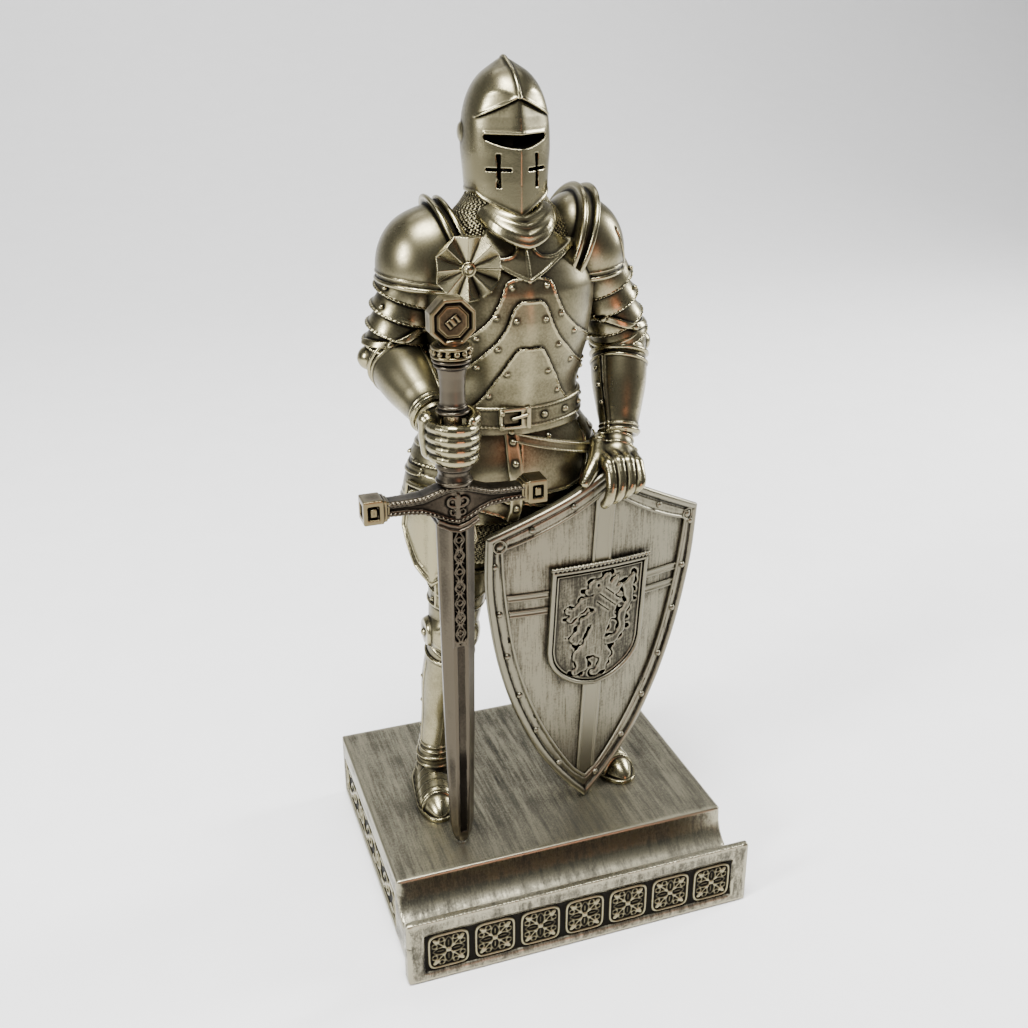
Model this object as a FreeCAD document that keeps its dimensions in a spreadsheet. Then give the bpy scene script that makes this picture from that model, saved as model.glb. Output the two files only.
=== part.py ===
"""Desk statuette of an armoured knight whose sword is a pen.

The knight stands on a plinth with a phone ledge along its front.  The pen (handle, barrel and
refill) drops through the right fist into a hollow blade, and the handle screws onto the barrel.
Frame: millimetres, +Z up, -Y is the knight's front, +X its left hand side.
The origin is the centre of the plinth block, at the underside of the felt pad.
"""

import FreeCAD
import Part
import math
import os
import Sketcher

PARTS_FOLDER = "parts"
Vector = FreeCAD.Vector
Rotation = FreeCAD.Rotation
UP = Vector(0, 0, 1)

doc = FreeCAD.newDocument("knight_pen_holder")
sheet = doc.addObject("Spreadsheet::Sheet", "Dims")
nodes = {}

# ---------------------------------------------------------------- driving dimensions

DIMENSIONS = [
    ("base_width", 110.0, "plinth, left to right"),
    ("base_depth", 83.4, "plinth block, front to back, without the ledge"),
    ("base_top", 24.9, "height of the plinth's top face"),
    ("base_under", 0.5, "height of the plinth's underside above the felt"),
    ("fascia", 3.4, "upright strip under the plinth's front edge"),
    ("cove", 8.5, "radius of the cove between plinth and ledge"),
    ("ledge_reach", 18.0, "how far the ledge's lip stands in front of the block"),
    ("lip_top", 22.7, "height of the lip"),
    ("lip_thick", 3.4, "thickness of the lip"),
    ("panel_long", 98.0, "width of the front ornament panel"),
    ("panel_high", 13.6, "height of the front ornament panel"),
    ("panel_z", 10.4, "middle height of every ornament panel"),
    ("panel_deep", 0.9, "depth of the ornament panels"),
    ("side_panel_long", 76.0, "length of the side ornament panels"),
    ("felt_inset", 5.0, "felt pad's distance from the plinth's edge"),
    ("felt_thick", 1.2, "felt pad"),
    ("screw_r", 1.75, "foot screw shank radius"),
    ("screw_head_r", 3.6, "foot screw head radius"),
    ("screw_head_z", 8.0, "height of the screw heads' seats"),
    ("screw_top", 40.0, "height of the screws' ends in the ankles"),
    ("body_x", -5.0, "knight's centre plane"),
    ("body_y", 2.0, "middle of the trunk, front to back"),
    ("knee_r", 9.1, "knee cop radius"),
    ("wing_r", 6.8, "radius of the knee cops' side plates"),
    ("hem_z", 128.0, "lower edge of the fauld"),
    ("mail_hem_z", 115.0, "lower edge of the mail skirt"),
    ("waist_z", 160.0, "joint between fauld and cuirass"),
    ("belt_top", 166.0, "upper edge of the belt"),
    ("belt_bottom", 159.0, "lower edge of the belt"),
    ("belt_proud", 1.5, "belt thickness over the cuirass"),
    ("tasset_r", 20.4, "radius of the tassets' curve"),
    ("tasset_half", 14.5, "tasset half width"),
    ("tasset_tip", 109.5, "height of the tassets' points"),
    ("strap_proud", 1.1, "hanging strap thickness over the fauld"),
    ("shoulder_z", 207.5, "centre height of the pauldrons"),
    ("shoulder_reach", 26.0, "pauldron centres from the centre plane"),
    ("pauldron_x", 12.5, "pauldron half width"),
    ("pauldron_y", 14.0, "pauldron half depth"),
    ("pauldron_z", 16.3, "pauldron half height"),
    ("flange_r", 16.0, "radius of the pauldrons' raised inner rims"),
    ("collar_half", 14.8, "mail collar half width between the pauldrons"),
    ("pauldron_hem", 197.0, "lower edge of the pauldrons"),
    ("upper_arm_r", 9.2, "upper arm radius at the shoulder"),
    ("elbow_r", 8.8, "elbow cop radius"),
    ("forearm_r", 8.2, "forearm radius at the elbow"),
    ("wrist_r", 5.2, "forearm radius at the wrist"),
    ("dowel_r", 2.0, "radius of the dowels between castings"),
    ("head_x", -5.0, "helmet centre, left to right"),
    ("head_y", 3.0, "helmet centre, front to back"),
    ("head_z", 236.5, "height of the helmet's widest section"),
    ("helmet_half_w", 13.4, "helmet half width"),
    ("helmet_half_d", 17.0, "helmet half depth"),
    ("helmet_high", 23.2, "helmet's widest section to its crown"),
    ("helmet_hem", 226.5, "helmet's lower edge at the sides"),
    ("visor_hem", 219.6, "helmet's lower edge at the front ridge"),
    ("slit_z", 239.6, "height of the eye slit"),
    ("slit_half", 9.3, "half length of the eye slit"),
    ("slit_high", 2.2, "height of the slit's opening"),
    ("crest_top", 260.4, "height of the crest"),
    ("sword_x", -31.0, "axis of the pen and the blade"),
    ("sword_y", -29.0, "axis of the pen and the blade"),
    ("blade_tip", 25.1, "lower end of the blade"),
    ("blade_top", 138.0, "upper end of the blade"),
    ("blade_half_w", 5.7, "blade half width at the top"),
    ("blade_half_t", 3.9, "blade half thickness at the top"),
    ("sheath_bore_r", 2.6, "bore for the pen barrel"),
    ("barrel_r", 2.52, "pen barrel radius"),
    ("barrel_bottom", 76.0, "lower end of the barrel's straight part"),
    ("nib_z", 62.0, "lower end of the pen's point"),
    ("refill_r", 1.15, "refill radius"),
    ("guard_z", 145.6, "centre height of the cross guard"),
    ("guard_half", 27.0, "half length of the cross guard"),
    ("guard_thick", 6.8, "cross guard, front to back"),
    ("fist_bottom", 157.0, "lower face of the right fist"),
    ("fist_top", 169.4, "upper face of the right fist"),
    ("fist_r", 7.3, "right fist radius over the fingers"),
    ("fist_bore_r", 3.2, "bore through the right fist"),
    ("grip_bottom", 171.0, "lower end of the pen's handle"),
    ("grip_top", 187.0, "upper end of the grip"),
    ("collar_top", 190.4, "upper end of the beaded collar"),
    ("collar_r", 5.8, "beaded collar radius"),
    ("tenon_top", 183.0, "upper end of the barrel's threaded tenon"),
    ("tenon_r", 1.9, "threaded tenon radius"),
    ("pommel_z", 197.0, "centre height of the pommel"),
    ("pommel_flat", 6.4, "pommel centre to flat"),
    ("pommel_thick", 5.0, "pommel, front to back"),
    ("shield_x", 14.9, "shield point, left to right"),
    ("shield_y", -19.7, "shield point, front to back"),
    ("shield_gap", 0.3, "shield point above the plinth"),
    ("shield_half", 39.0, "shield half width at its corners"),
    ("shield_waist", 36.4, "shield half width where its sides start to curve in"),
    ("shield_drop", 30.0, "from the corners down to that point"),
    ("shield_corner", 99.5, "corners above the point"),
    ("shield_peak", 118.8, "top peak above the point"),
    ("side_curve", 118.0, "radius of the shield's sides"),
    ("top_curve", 235.0, "radius of the two hollows of its top edge"),
    ("shield_curve", 168.0, "radius of the shield's bowed face"),
    ("shield_thick", 2.4, "shield plate thickness"),
    ("rim_wide", 6.0, "width of the shield's border"),
    ("relief", 0.8, "height of the border and the cross bands"),
    ("band_wide", 7.0, "width of the cross bands"),
    ("band_z", 75.6, "height of the shield's cross band above the point"),
    ("badge_half", 17.9, "half width of the small inner shield"),
    ("badge_top", 87.0, "inner shield's top above the point"),
    ("badge_side", 58.5, "where the inner shield's sides start to curve in"),
    ("badge_bottom", 43.8, "inner shield's lower end above the point"),
    ("rivet_r", 0.75, "rivet head radius on the shield"),
    ("rondel_r", 8.9, "armpit rondel, centre to flat"),
    ("rondel_x", -21.8, "rondel centre"),
    ("rondel_y", -15.4, "rondel centre"),
    ("rondel_z", 207.3, "rondel centre"),
]

SHIELD_YAW = 9.85
SHIELD_PITCH = 0.5
SHIELD_ROLL = 3.2
TASSET_TURN = {"right": -45, "left": 60}
POMMEL_SIDES = 8
COLLAR_BEADS = 12


def fill_sheet():
    """Writes each dimension, its name and its meaning on one row of the sheet."""
    for row, (alias, value, meaning) in enumerate(DIMENSIONS, start=1):
        sheet.set(f"A{row}", alias)
        sheet.set(f"B{row}", str(value))
        sheet.set(f"C{row}", meaning)
        sheet.setAlias(f"B{row}", alias)
    doc.recompute()


fill_sheet()


# ---------------------------------------------------------------- small building helpers


def expand(expression):
    """Names every alias in an expression as a cell of the sheet."""
    words = [alias for alias, _, _ in DIMENSIONS]
    text, out, word = str(expression) + " ", "", ""
    for char in text:
        if char.isalnum() or char == "_":
            word += char
            continue
        out += f"Dims.{word}" if word in words else word
        word = ""
        out += char
    return out.strip()


def number(expression):
    """The value of an expression of sheet names."""
    return float(sheet.evalExpression(expand(expression)))


def point(xyz):
    """A vector from three expressions."""
    return Vector(*[number(part) for part in xyz])


def bind(obj, **properties):
    """Ties an object's sizes to expressions of sheet names."""
    for name, expression in properties.items():
        obj.setExpression(name, expand(expression))
    return obj


def place(obj, xyz, rotation=None):
    """Puts an object at three expressions, turned by a rotation."""
    obj.Placement = FreeCAD.Placement(point(xyz), rotation or Rotation())
    for axis, expression in zip("xyz", xyz):
        obj.setExpression(f"Placement.Base.{axis}", expand(expression))
    return obj


def keep(label, obj):
    """Gives a finished sub-part its label and lists it for export."""
    obj.Label = label
    nodes[label] = obj
    return obj


def ball(name, centre, radii, rotation=None):
    """An ellipsoid from its centre and its x, y and z radii."""
    obj = doc.addObject("Part::Ellipsoid", name)
    obj.Angle1, obj.Angle2, obj.Angle3 = -90, 90, 360
    bind(obj, Radius2=radii[0], Radius3=radii[1], Radius1=radii[2])
    return place(obj, centre, rotation)


def sphere(name, centre, radius, rotation=None):
    """A sphere from its centre and radius."""
    obj = doc.addObject("Part::Sphere", name)
    bind(obj, Radius=radius)
    return place(obj, centre, rotation)


def box(name, low, size, rotation=None):
    """A box from its low corner and its three sizes."""
    obj = doc.addObject("Part::Box", name)
    bind(obj, Length=size[0], Width=size[1], Height=size[2])
    return place(obj, low, rotation)


def rod(name, start, end, r_start, r_end=None):
    """A cylinder or a cone between two points."""
    a, b = point(start), point(end)
    turn = Rotation(UP, b - a)
    terms = [f"(({q}) - ({p}))^2" for p, q in zip(start, end)]
    length = "sqrt(" + " + ".join(terms) + ")"
    if r_end is None:
        obj = doc.addObject("Part::Cylinder", name)
        bind(obj, Radius=r_start, Height=length)
    else:
        obj = doc.addObject("Part::Cone", name)
        bind(obj, Radius1=r_start, Radius2=r_end, Height=length)
    return place(obj, start, turn)


def stack(name, stations, ruled=False):
    """A loft through level ellipses: each station is z, centre x, centre y, half x, half y."""
    rings = []
    for index, (z, cx, cy, half_x, half_y) in enumerate(stations):
        ring = doc.addObject("Part::Ellipse", f"{name}_ring{index}")
        wide = number(half_x) >= number(half_y)
        major, minor = (half_x, half_y) if wide else (half_y, half_x)
        bind(ring, MajorRadius=major, MinorRadius=minor)
        place(ring, (cx, cy, z), Rotation(UP, 0 if wide else 90))
        rings.append(ring)
    loft = doc.addObject("Part::Loft", name)
    loft.Sections = rings
    loft.Solid = True
    loft.Ruled = ruled
    return loft


def fuse(name, *shapes):
    """Several shapes as one."""
    obj = doc.addObject("Part::MultiFuse", name)
    obj.Shapes = list(shapes)
    obj.Refine = False
    return obj


def common(name, *shapes):
    """What several shapes share."""
    obj = doc.addObject("Part::MultiCommon", name)
    obj.Shapes = list(shapes)
    return obj


def cut(name, base, *tools):
    """A shape less each of the tools in turn."""
    for index, tool in enumerate(tools):
        obj = doc.addObject("Part::Cut", f"{name}_cut{index}")
        obj.Base, obj.Tool = base, tool
        base = obj
    return base


def plane_of(body, role):
    """One of a body's own origin planes."""
    return next(o for o in body.Origin.OriginFeatures if o.Role == role)


def sketch(body, role, points, closed=True, support=None):
    """A sketch of lines through points given as pairs of expressions.

    An entry ("arc", radius, bulge) between two points joins them with an arc; bulge is +1 when the
    arc's centre lies to the left of the way from the first point to the second.
    """
    sk = body.newObject("Sketcher::SketchObject", body.Name + "_sketch")
    sk.AttachmentSupport = [support or (plane_of(body, role), "")]
    sk.MapMode = "FlatFace"
    ring, links = [], []
    for entry in points:
        if entry[0] == "arc":
            links[-1] = entry
        else:
            ring.append(entry)
            links.append(None)
    count = len(ring)
    spots = [Vector(number(x), number(y), 0) for x, y in ring]
    ends = []
    for i in range(count if closed else count - 1):
        a, b, link = spots[i], spots[(i + 1) % count], links[i]
        if link is None:
            geo = sk.addGeometry(Part.LineSegment(a, b))
            ends.append((geo, 1, 2))
            continue
        radius, side = number(link[1]), link[2]
        middle, along = (a + b) * 0.5, b - a
        left = Vector(-along.y, along.x, 0).normalize()
        rise = math.sqrt(max(radius**2 - along.Length**2 / 4, 0.0))
        centre = middle + left * rise * side
        crown = centre - left * radius * side
        geo = sk.addGeometry(Part.Arc(a, crown, b))
        turned = sk.getPoint(geo, 1).distanceToPoint(a) > 1e-6
        ends.append((geo, 2, 1) if turned else (geo, 1, 2))
        index = sk.addConstraint(Sketcher.Constraint("Radius", geo, radius))
        sk.setExpression(f"Constraints[{index}]", expand(link[1]))
    for i, (geo, first, last) in enumerate(ends):
        if closed or i + 1 < len(ends):
            after = ends[(i + 1) % len(ends)]
            sk.addConstraint(Sketcher.Constraint("Coincident", geo, last, after[0], after[1]))
        for kind, value, expression in zip(("DistanceX", "DistanceY"), spots[i][:2], ring[i]):
            rule = Sketcher.Constraint(kind, -1, 1, geo, first, value)
            index = sk.addConstraint(rule)
            sk.setExpression(f"Constraints[{index}]", expand(expression))
    sk.recompute()
    return sk


def pad(body, sk, length, midplane=True, reverse=False):
    """A pad of a sketch."""
    obj = body.newObject("PartDesign::Pad", body.Name + "_pad")
    obj.Profile = sk
    bind(obj, Length=length)
    obj.Midplane = midplane
    obj.Reversed = reverse
    body.Tip = obj
    return obj


def pocket(body, sk, length, midplane=False, reverse=False):
    """A pocket of a sketch; stops the build if it takes nothing away."""
    doc.recompute()
    before = body.Shape.Volume
    obj = body.newObject("PartDesign::Pocket", body.Name + "_pocket")
    obj.Profile = sk
    bind(obj, Length=length)
    obj.Midplane = midplane
    obj.Reversed = reverse
    body.Tip = obj
    doc.recompute()
    if body.Shape.Volume > before - 1e-3:
        raise RuntimeError(f"{obj.Name} cuts nothing")
    return obj


def turned(label, profile):
    """A body turned about the Z axis from pairs of radius and height."""
    body = doc.addObject("PartDesign::Body", label + "_body")
    sk = sketch(body, "XZ_Plane", profile)
    obj = body.newObject("PartDesign::Revolution", label + "_turn")
    obj.Profile = sk
    obj.ReferenceAxis = (sk, ["V_Axis"])
    obj.Angle = 360
    body.Tip = obj
    return body


def slab(label, role, outline, thickness, **options):
    """A body padded from one outline."""
    body = doc.addObject("PartDesign::Body", label + "_body")
    pad(body, sketch(body, role, outline), thickness, **options)
    return body


def ring_of_points(centre, radius, sides, turn=0.0):
    """Expression pairs for the corners of a regular polygon."""
    found = []
    for k in range(sides):
        angle = math.radians(turn + 360.0 * k / sides)
        cx, cy = centre
        found.append((f"{cx} + ({radius}) * {math.cos(angle):.6f}",
                      f"{cy} + ({radius}) * {math.sin(angle):.6f}"))
    return found


# ---------------------------------------------------------------- plinth


def make_plinth():
    """The cast plinth: block, cove, trough and lip in one section, with sunk ornament panels."""
    body = doc.addObject("PartDesign::Body", "plinth_body")
    front, back = "-base_depth / 2", "base_depth / 2"
    trough = "base_top - fascia - cove"
    lip_back = f"{front} - ledge_reach + lip_thick"
    profile = [
        (back, "base_under"),
        (back, "base_top"),
        (front, "base_top"),
        (front, "base_top - fascia"),
        ("arc", "cove", -1),
        (f"{front} - cove", trough),
        (f"{lip_back} + 0.6", trough),
        (lip_back, "lip_top - 1"),
        (f"{lip_back} - 0.8", "lip_top"),
        (f"{front} - ledge_reach + 1.2", "lip_top"),
        (f"{front} - ledge_reach + 0.5", "lip_top - 0.6"),
        (f"{front} - ledge_reach", "base_under"),
    ]
    pad(body, sketch(body, "YZ_Plane", profile), "base_width")
    low, high = "panel_z - panel_high / 2", "panel_z + panel_high / 2"

    def panel(role, half, offset, reverse):
        outline = [(f"-({half})", low), (half, low), (half, high), (f"-({half})", high)]
        sk = sketch(body, role, outline)
        axis = {"XZ_Plane": -1, "YZ_Plane": 1}[role]
        sk.AttachmentOffset = FreeCAD.Placement(Vector(0, 0, axis * number(offset)), Rotation())
        sk.setExpression("AttachmentOffset.Base.z", expand(f"{axis} * ({offset})"))
        pocket(body, sk, "panel_deep", reverse=reverse)

    panel("XZ_Plane", "panel_long / 2", "-(base_depth / 2 + ledge_reach)", False)
    panel("XZ_Plane", "panel_long / 2", "base_depth / 2", True)
    panel("YZ_Plane", "side_panel_long / 2", "base_width / 2", False)
    panel("YZ_Plane", "side_panel_long / 2", "-base_width / 2", True)
    under = [
        ("-(base_width / 2 - felt_inset)", "-(base_depth / 2 - felt_inset)"),
        ("base_width / 2 - felt_inset", "-(base_depth / 2 - felt_inset)"),
        ("base_width / 2 - felt_inset", "base_depth / 2 - felt_inset"),
        ("-(base_width / 2 - felt_inset)", "base_depth / 2 - felt_inset"),
    ]
    felt = slab("felt", "XY_Plane", under, "felt_thick", midplane=False)
    holes = []
    for side, (x, y) in FOOT_SCREWS.items():
        holes.append(rod(f"{side}_seat", (x, y, "0"), (x, y, "screw_head_z"), "screw_head_r"))
        holes.append(rod(f"{side}_hole", (x, y, "0"), (x, y, "screw_top"), "screw_r"))
    pin = rod("pin_hole", ("sword_x", "sword_y", "base_top - 5"),
              ("sword_x", "sword_y", "blade_tip + 5"), "1.2")
    keep("base_plinth", cut("plinth", body, felt, pin, *holes))
    keep("base_felt", felt)
    screws = []
    for side, (x, y) in FOOT_SCREWS.items():
        head = rod(f"{side}_head", (x, y, "screw_head_z - 2.4"), (x, y, "screw_head_z"), "3.2")
        shank = rod(f"{side}_shank", (x, y, "screw_head_z - 1"), (x, y, "screw_top"), "screw_r")
        slot = box(f"{side}_slot", (f"{x} - 3.3", f"{y} - 0.5", "screw_head_z - 2.5"),
                   ("6.6", "1", "1.1"))
        screws.append(cut(f"{side}_screw", fuse(f"{side}_bolt", head, shank), slot))
    keep("foot_screws", fuse("foot_screw_pair", *screws))
    return holes, pin


SEAM_TURN = {"right": Rotation(UP, 0), "left": Rotation(UP, 180)}
FOOT_SCREWS = {"right": ("-30.4", "5"), "left": ("27.4", "5")}


# ---------------------------------------------------------------- legs, fauld and trunk


def make_legs(screw_tools):
    """Both legs: thigh, knee cop, greave and sabaton, each a casting of its own."""
    thighs = {}
    knees = {
        "right": ("-24.4", "-0.6", "87"),
        "left": ("15.4", "1.2", "88"),
    }
    stations = {
        "right": [("hem_z", -17.0, 3.0, 11.2, 11.8), ("110", -20.5, 2.2, 10.4, 11.0),
                  ("96", -22.8, 1.0, 8.8, 9.4), ("84", -24.4, 0.8, 7.8, 8.2),
                  ("68", -26.2, 3.4, 7.4, 8.8), ("52", -28.6, 5.0, 5.4, 6.4),
                  ("38", -30.2, 5.0, 5.0, 6.0)],
        "left": [("hem_z", 7.0, 3.0, 11.2, 11.8), ("110", 11.0, 2.6, 10.4, 11.0),
                 ("96", 13.8, 2.4, 8.8, 9.4), ("84", 16.2, 2.4, 7.8, 8.2),
                 ("68", 19.6, 4.4, 7.4, 8.8), ("52", 24.0, 5.0, 5.4, 6.4),
                 ("38", 27.0, 5.0, 5.0, 6.0)],
    }
    toes = {"right": ("-32.8", "-2", 7.0), "left": ("29.8", "-3", -7.0)}
    floor = box("foot_zone", ("-60", "-40", "base_top"), ("120", "80", "20"))
    for side, sign in (("right", -1), ("left", 1)):
        knee = sphere(f"{side}_knee_ball", knees[side], "knee_r", SEAM_TURN[side])
        x, y, z = knees[side]
        wing = rod(f"{side}_knee_wing", (f"{x} + {sign * 5}", f"{y} + 2", z),
                   (f"{x} + {sign * 9.4}", f"{y} + 2", z), "wing_r", "wing_r - 2.2")
        cop = fuse(f"{side}_cop", knee, wing)
        upper = stack(f"{side}_thigh_loft", [tuple(map(str, s)) for s in stations[side][:4]])
        lower = stack(f"{side}_greave_loft", [tuple(map(str, s)) for s in stations[side][3:]])
        dowel = hip_dowel(side)
        thigh = cut(f"{side}_thigh", upper, knee, wing, dowel)
        thighs[side] = keep(f"{side}_thigh", thigh)
        keep(f"{side}_knee", cop)
        tools = [t for t in screw_tools if t.Name.startswith(side)]
        keep(f"{side}_greave", cut(f"{side}_greave", lower, knee, wing, *tools))
        fx, fy, turn = toes[side]
        shoe = ball(f"{side}_shoe", (fx, fy, "base_top + 2"), ("6.6", "16.4", "6.6"),
                    Rotation(UP, -turn))
        ankle = rod(f"{side}_ankle", (FOOT_SCREWS[side][0], "5", "base_top"),
                    (FOOT_SCREWS[side][0], "5", "38"), "6.8", "5.4")
        foot = common(f"{side}_foot_trim", fuse(f"{side}_foot_mass", shoe, ankle), floor)
        keep(f"{side}_sabaton", cut(f"{side}_foot", foot, nodes[f"{side}_greave"], *tools))
    return thighs


def hip_dowel(side):
    """The dowel between a thigh and the fauld."""
    name = f"{side}_hip_dowel"
    found = doc.getObject(name)
    if found:
        return found
    x = {"right": "-17", "left": "7"}[side]
    return rod(name, (x, "3", "hem_z - 10"), (x, "3", "hem_z + 10"), "dowel_r")


def make_fauld(thighs, shield_solid):
    """The fauld, the mail skirt under it, two tassets, and the straps that lie on them."""
    def rings(extra):
        sizes = [("hem_z", 34.0, 17.6), ("134", 33.5, 18.0), ("144", 31.2, 17.6),
                 ("152", 27.6, 16.6), ("waist_z", 22.4, 14.8)]
        return [(z, "body_x", "body_y + 1", f"{a} + {extra}", f"{b} + {extra}")
                for z, a, b in sizes]

    fauld = stack("fauld_loft", rings("0"))
    cover = stack("fauld_cover", rings("strap_proud"))
    shell = cut("strap_shell", cover, fauld)
    hips = [hip_dowel("right"), hip_dowel("left")]
    waist = rod("waist_dowel_rod", ("body_x", "body_y", "waist_z - 12"),
                ("body_x", "body_y", "waist_z + 12"), "dowel_r + 0.5")
    keep("fauld", cut("fauld_bored", fauld, waist, *hips))
    keep("hip_dowels", fuse("hip_dowel_pair", *hips))
    keep("waist_dowel", waist)
    skirt = stack("mail_loft", [
        ("mail_hem_z", "body_x", "body_y + 1", "26.5", "16"),
        ("hem_z", "body_x", "body_y + 1", "27.5", "16.4"),
    ])
    tools = [doc.getObject(f"{side}_thigh_loft") for side in ("right", "left")]
    tassets = {}
    for side, sign in (("right", -1), ("left", 1)):
        cx, cy = f"body_x + {sign * 14}", "body_y + 1"
        outer = rod(f"{side}_tasset_outer", (cx, cy, "104"), (cx, cy, "146"),
                    "tasset_r + 0.8", "tasset_r - 1.4")
        inner = rod(f"{side}_tasset_inner", (cx, cy, "103"), (cx, cy, "147"),
                    "tasset_r - 0.8", "tasset_r - 3")
        leaf = slab(f"{side}_leaf", "XZ_Plane", [
            ("-tasset_half + 3", "141"), ("-tasset_half", "126"), ("0", "tasset_tip"),
            ("tasset_half", "126"), ("tasset_half - 3", "141"),
        ], "40", midplane=False)
        place(leaf, (cx, cy, "0"), Rotation(UP, TASSET_TURN[side]))
        plate = common(f"{side}_tasset_leaf", cut(f"{side}_tasset_shell", outer, inner), leaf)
        tassets[side] = keep(f"{side}_tasset", cut(f"{side}_tasset", plate, cover,
                                                   thighs[side], shield_solid))
    keep("mail_skirt", cut("mail_skirt", skirt, *tools, *tassets.values()))
    hanging = box("hanging_zone", ("body_x - 6", "-40", "hem_z + 2"), ("4.4", "40", "29.5"))
    keep("hanging_strap", common("hanging_strap", shell, hanging))
    slant = box("slant_zone", ("body_x - 1.2", "-40", "152"), ("46", "44", "4"),
                Rotation(Vector(0, 1, 0), 17))
    keep("sword_belt", common("sword_belt", shell, slant))
    return fauld, waist


def make_trunk(waist):
    """The cuirass, the belt and its buckle, and the dowels to the head and the arms."""
    def rings(extra):
        sizes = [("waist_z", 21.6, 14.6), ("168", 21.2, 14.8), ("184", 25.2, 17.6),
                 ("198", 26.6, 18.2), ("208", 23.6, 15.6), ("216", 15.6, 11.0)]
        return [(z, "body_x", "body_y", f"{a} + {extra}", f"{b} + {extra}") for z, a, b in sizes]

    cuirass = stack("cuirass_loft", rings("0"))
    neck = rod("neck_dowel_rod", ("body_x", "body_y + 1", "207"),
               ("body_x", "body_y + 1", "234"), "dowel_r")
    arms = {}
    for side, sign in (("right", -1), ("left", 1)):
        arms[side] = rod(f"{side}_shoulder_dowel",
                         (f"body_x + {sign * 17}", "body_y + 2", "203"),
                         (f"body_x + {sign * 31}", "body_y + 3", "202"), "dowel_r")
    keep("cuirass", cut("cuirass", cuirass, waist, neck, *arms.values()))
    keep("neck_dowel", neck)
    keep("shoulder_dowels", fuse("shoulder_dowel_pair", *arms.values()))
    outer = stack("belt_outer", [
        ("belt_bottom", "body_x", "body_y + 0.4", "22.6 + belt_proud", "15.2 + belt_proud"),
        ("belt_top", "body_x", "body_y + 0.2", "21.6 + belt_proud", "14.9 + belt_proud"),
    ])
    buckle_x = "body_x - 3.4"
    plate = box("buckle_plate", (f"{buckle_x} - 5.2", "-16.8", "belt_bottom - 0.3"),
                ("10.4", "2", "belt_top - belt_bottom + 0.6"))
    window = box("buckle_window", (f"{buckle_x} - 2.8", "-20", "belt_bottom + 1.6"),
                 ("5.6", "3", "belt_top - belt_bottom - 3.2"))
    fauld = doc.getObject("fauld_loft")
    straps = [nodes["hanging_strap"], nodes["sword_belt"]]
    keep("belt", cut("belt", outer, cuirass, fauld, *straps))
    keep("belt_buckle", cut("buckle", plate, window))
    return cuirass, neck, arms


# ---------------------------------------------------------------- head and neck


def make_head(cuirass, neck):
    """The helmet with its visor ridge, eye slit, breaths and crest, the mail collar and the gorget."""
    cx, cy = "head_x", "head_y"
    right_side = [(0, -16.4), (-7.4, -11.4), (-12.4, -4.6), (-13.6, 3), (-11, 9.5), (-6, 13.2),
                  (0, 14.2)]
    ring = right_side + [(-x, y) for x, y in reversed(right_side[1:-1])]
    outline = [(f"{cx} + {x}", f"{cy} + {y}") for x, y in ring]
    prism = slab("helmet_prism", "XY_Plane", outline, "270", midplane=False)
    egg = ball("helmet_egg", (cx, f"{cy} - 0.6", "head_z"),
               ("helmet_half_w + 0.6", "helmet_half_d", "helmet_high"))
    crest = ball("helmet_crest", (cx, f"{cy} - 1", "crest_top - 12.4"), ("0.9", "13.2", "12.4"))
    skull = common("helmet_skull", prism, egg)
    mass = fuse("helmet_mass", skull, crest)
    ears = []
    for side in (-1, 1):
        ears.append(rod(f"ear_{side + 1}", (f"{cx} + {side * 12}", f"{cy} + 2", "slit_z + 2"),
                        (f"{cx} + {side * 14.2}", f"{cy} + 2", "slit_z + 2"), "3.4", "2.6"))
    mass = fuse("helmet_eared", mass, *ears)
    below = box("below_helmet", (f"{cx} - 30", f"{cy} - 2", "180"),
                ("60", "40", "helmet_hem - 180"))
    rise = "(helmet_hem - visor_hem) * 60 / helmet_half_w"
    hem = slab("hem", "XZ_Plane", [
        (cx, "visor_hem"), (f"{cx} - 60", f"visor_hem + {rise}"), (f"{cx} - 60", "150"),
        (f"{cx} + 60", "150"), (f"{cx} + 60", f"visor_hem + {rise}"),
    ], "120")
    slit = box("eye_slit", (f"{cx} - slit_half", f"{cy} - 20", "slit_z - slit_high / 2"),
               ("2 * slit_half", "9.4", "slit_high"))
    breaths = []
    for side in (-1, 1):
        x = f"{cx} + {side * 5.9}"
        breaths.append(box(f"breath_tall_{side + 1}", (f"{x} - 0.5", f"{cy} - 20", "227.4"),
                           ("1", "8.4", "8.4")))
        breaths.append(box(f"breath_wide_{side + 1}", (f"{x} - 3", f"{cy} - 20", "231.4"),
                           ("6", "8.4", "1")))
    keep("helmet", cut("helmet", mass, below, hem, slit, *breaths, neck))
    collar = stack("mail_collar_loft", [
        ("211", cx, "body_y + 1", "collar_half", "14.4"),
        ("219", cx, "body_y + 1.6", "collar_half - 0.6", "13"),
        ("229", cx, "head_y + 0.6", "12.2", "12.4"),
    ])
    solid_helmet = cut("helmet_tool", mass, below, hem)
    keep("mail_collar", cut("mail_collar", collar, cuirass, solid_helmet, neck))
    throat = ball("gorget_ball", (cx, "body_y - 8.6", "215.6"), ("11.6", "9.4", "5.6"))
    keep("gorget", cut("gorget", throat, cuirass, solid_helmet, collar, neck))


# ---------------------------------------------------------------- arms and hands

ELBOWS = {"right": ("-38.6", "8", "178"), "left": ("34.8", "7.4", "175.4")}
WRISTS = {"right": ("-34", "-18.6", "167.6"), "left": ("29.4", "-6.8", "150.6")}


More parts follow.
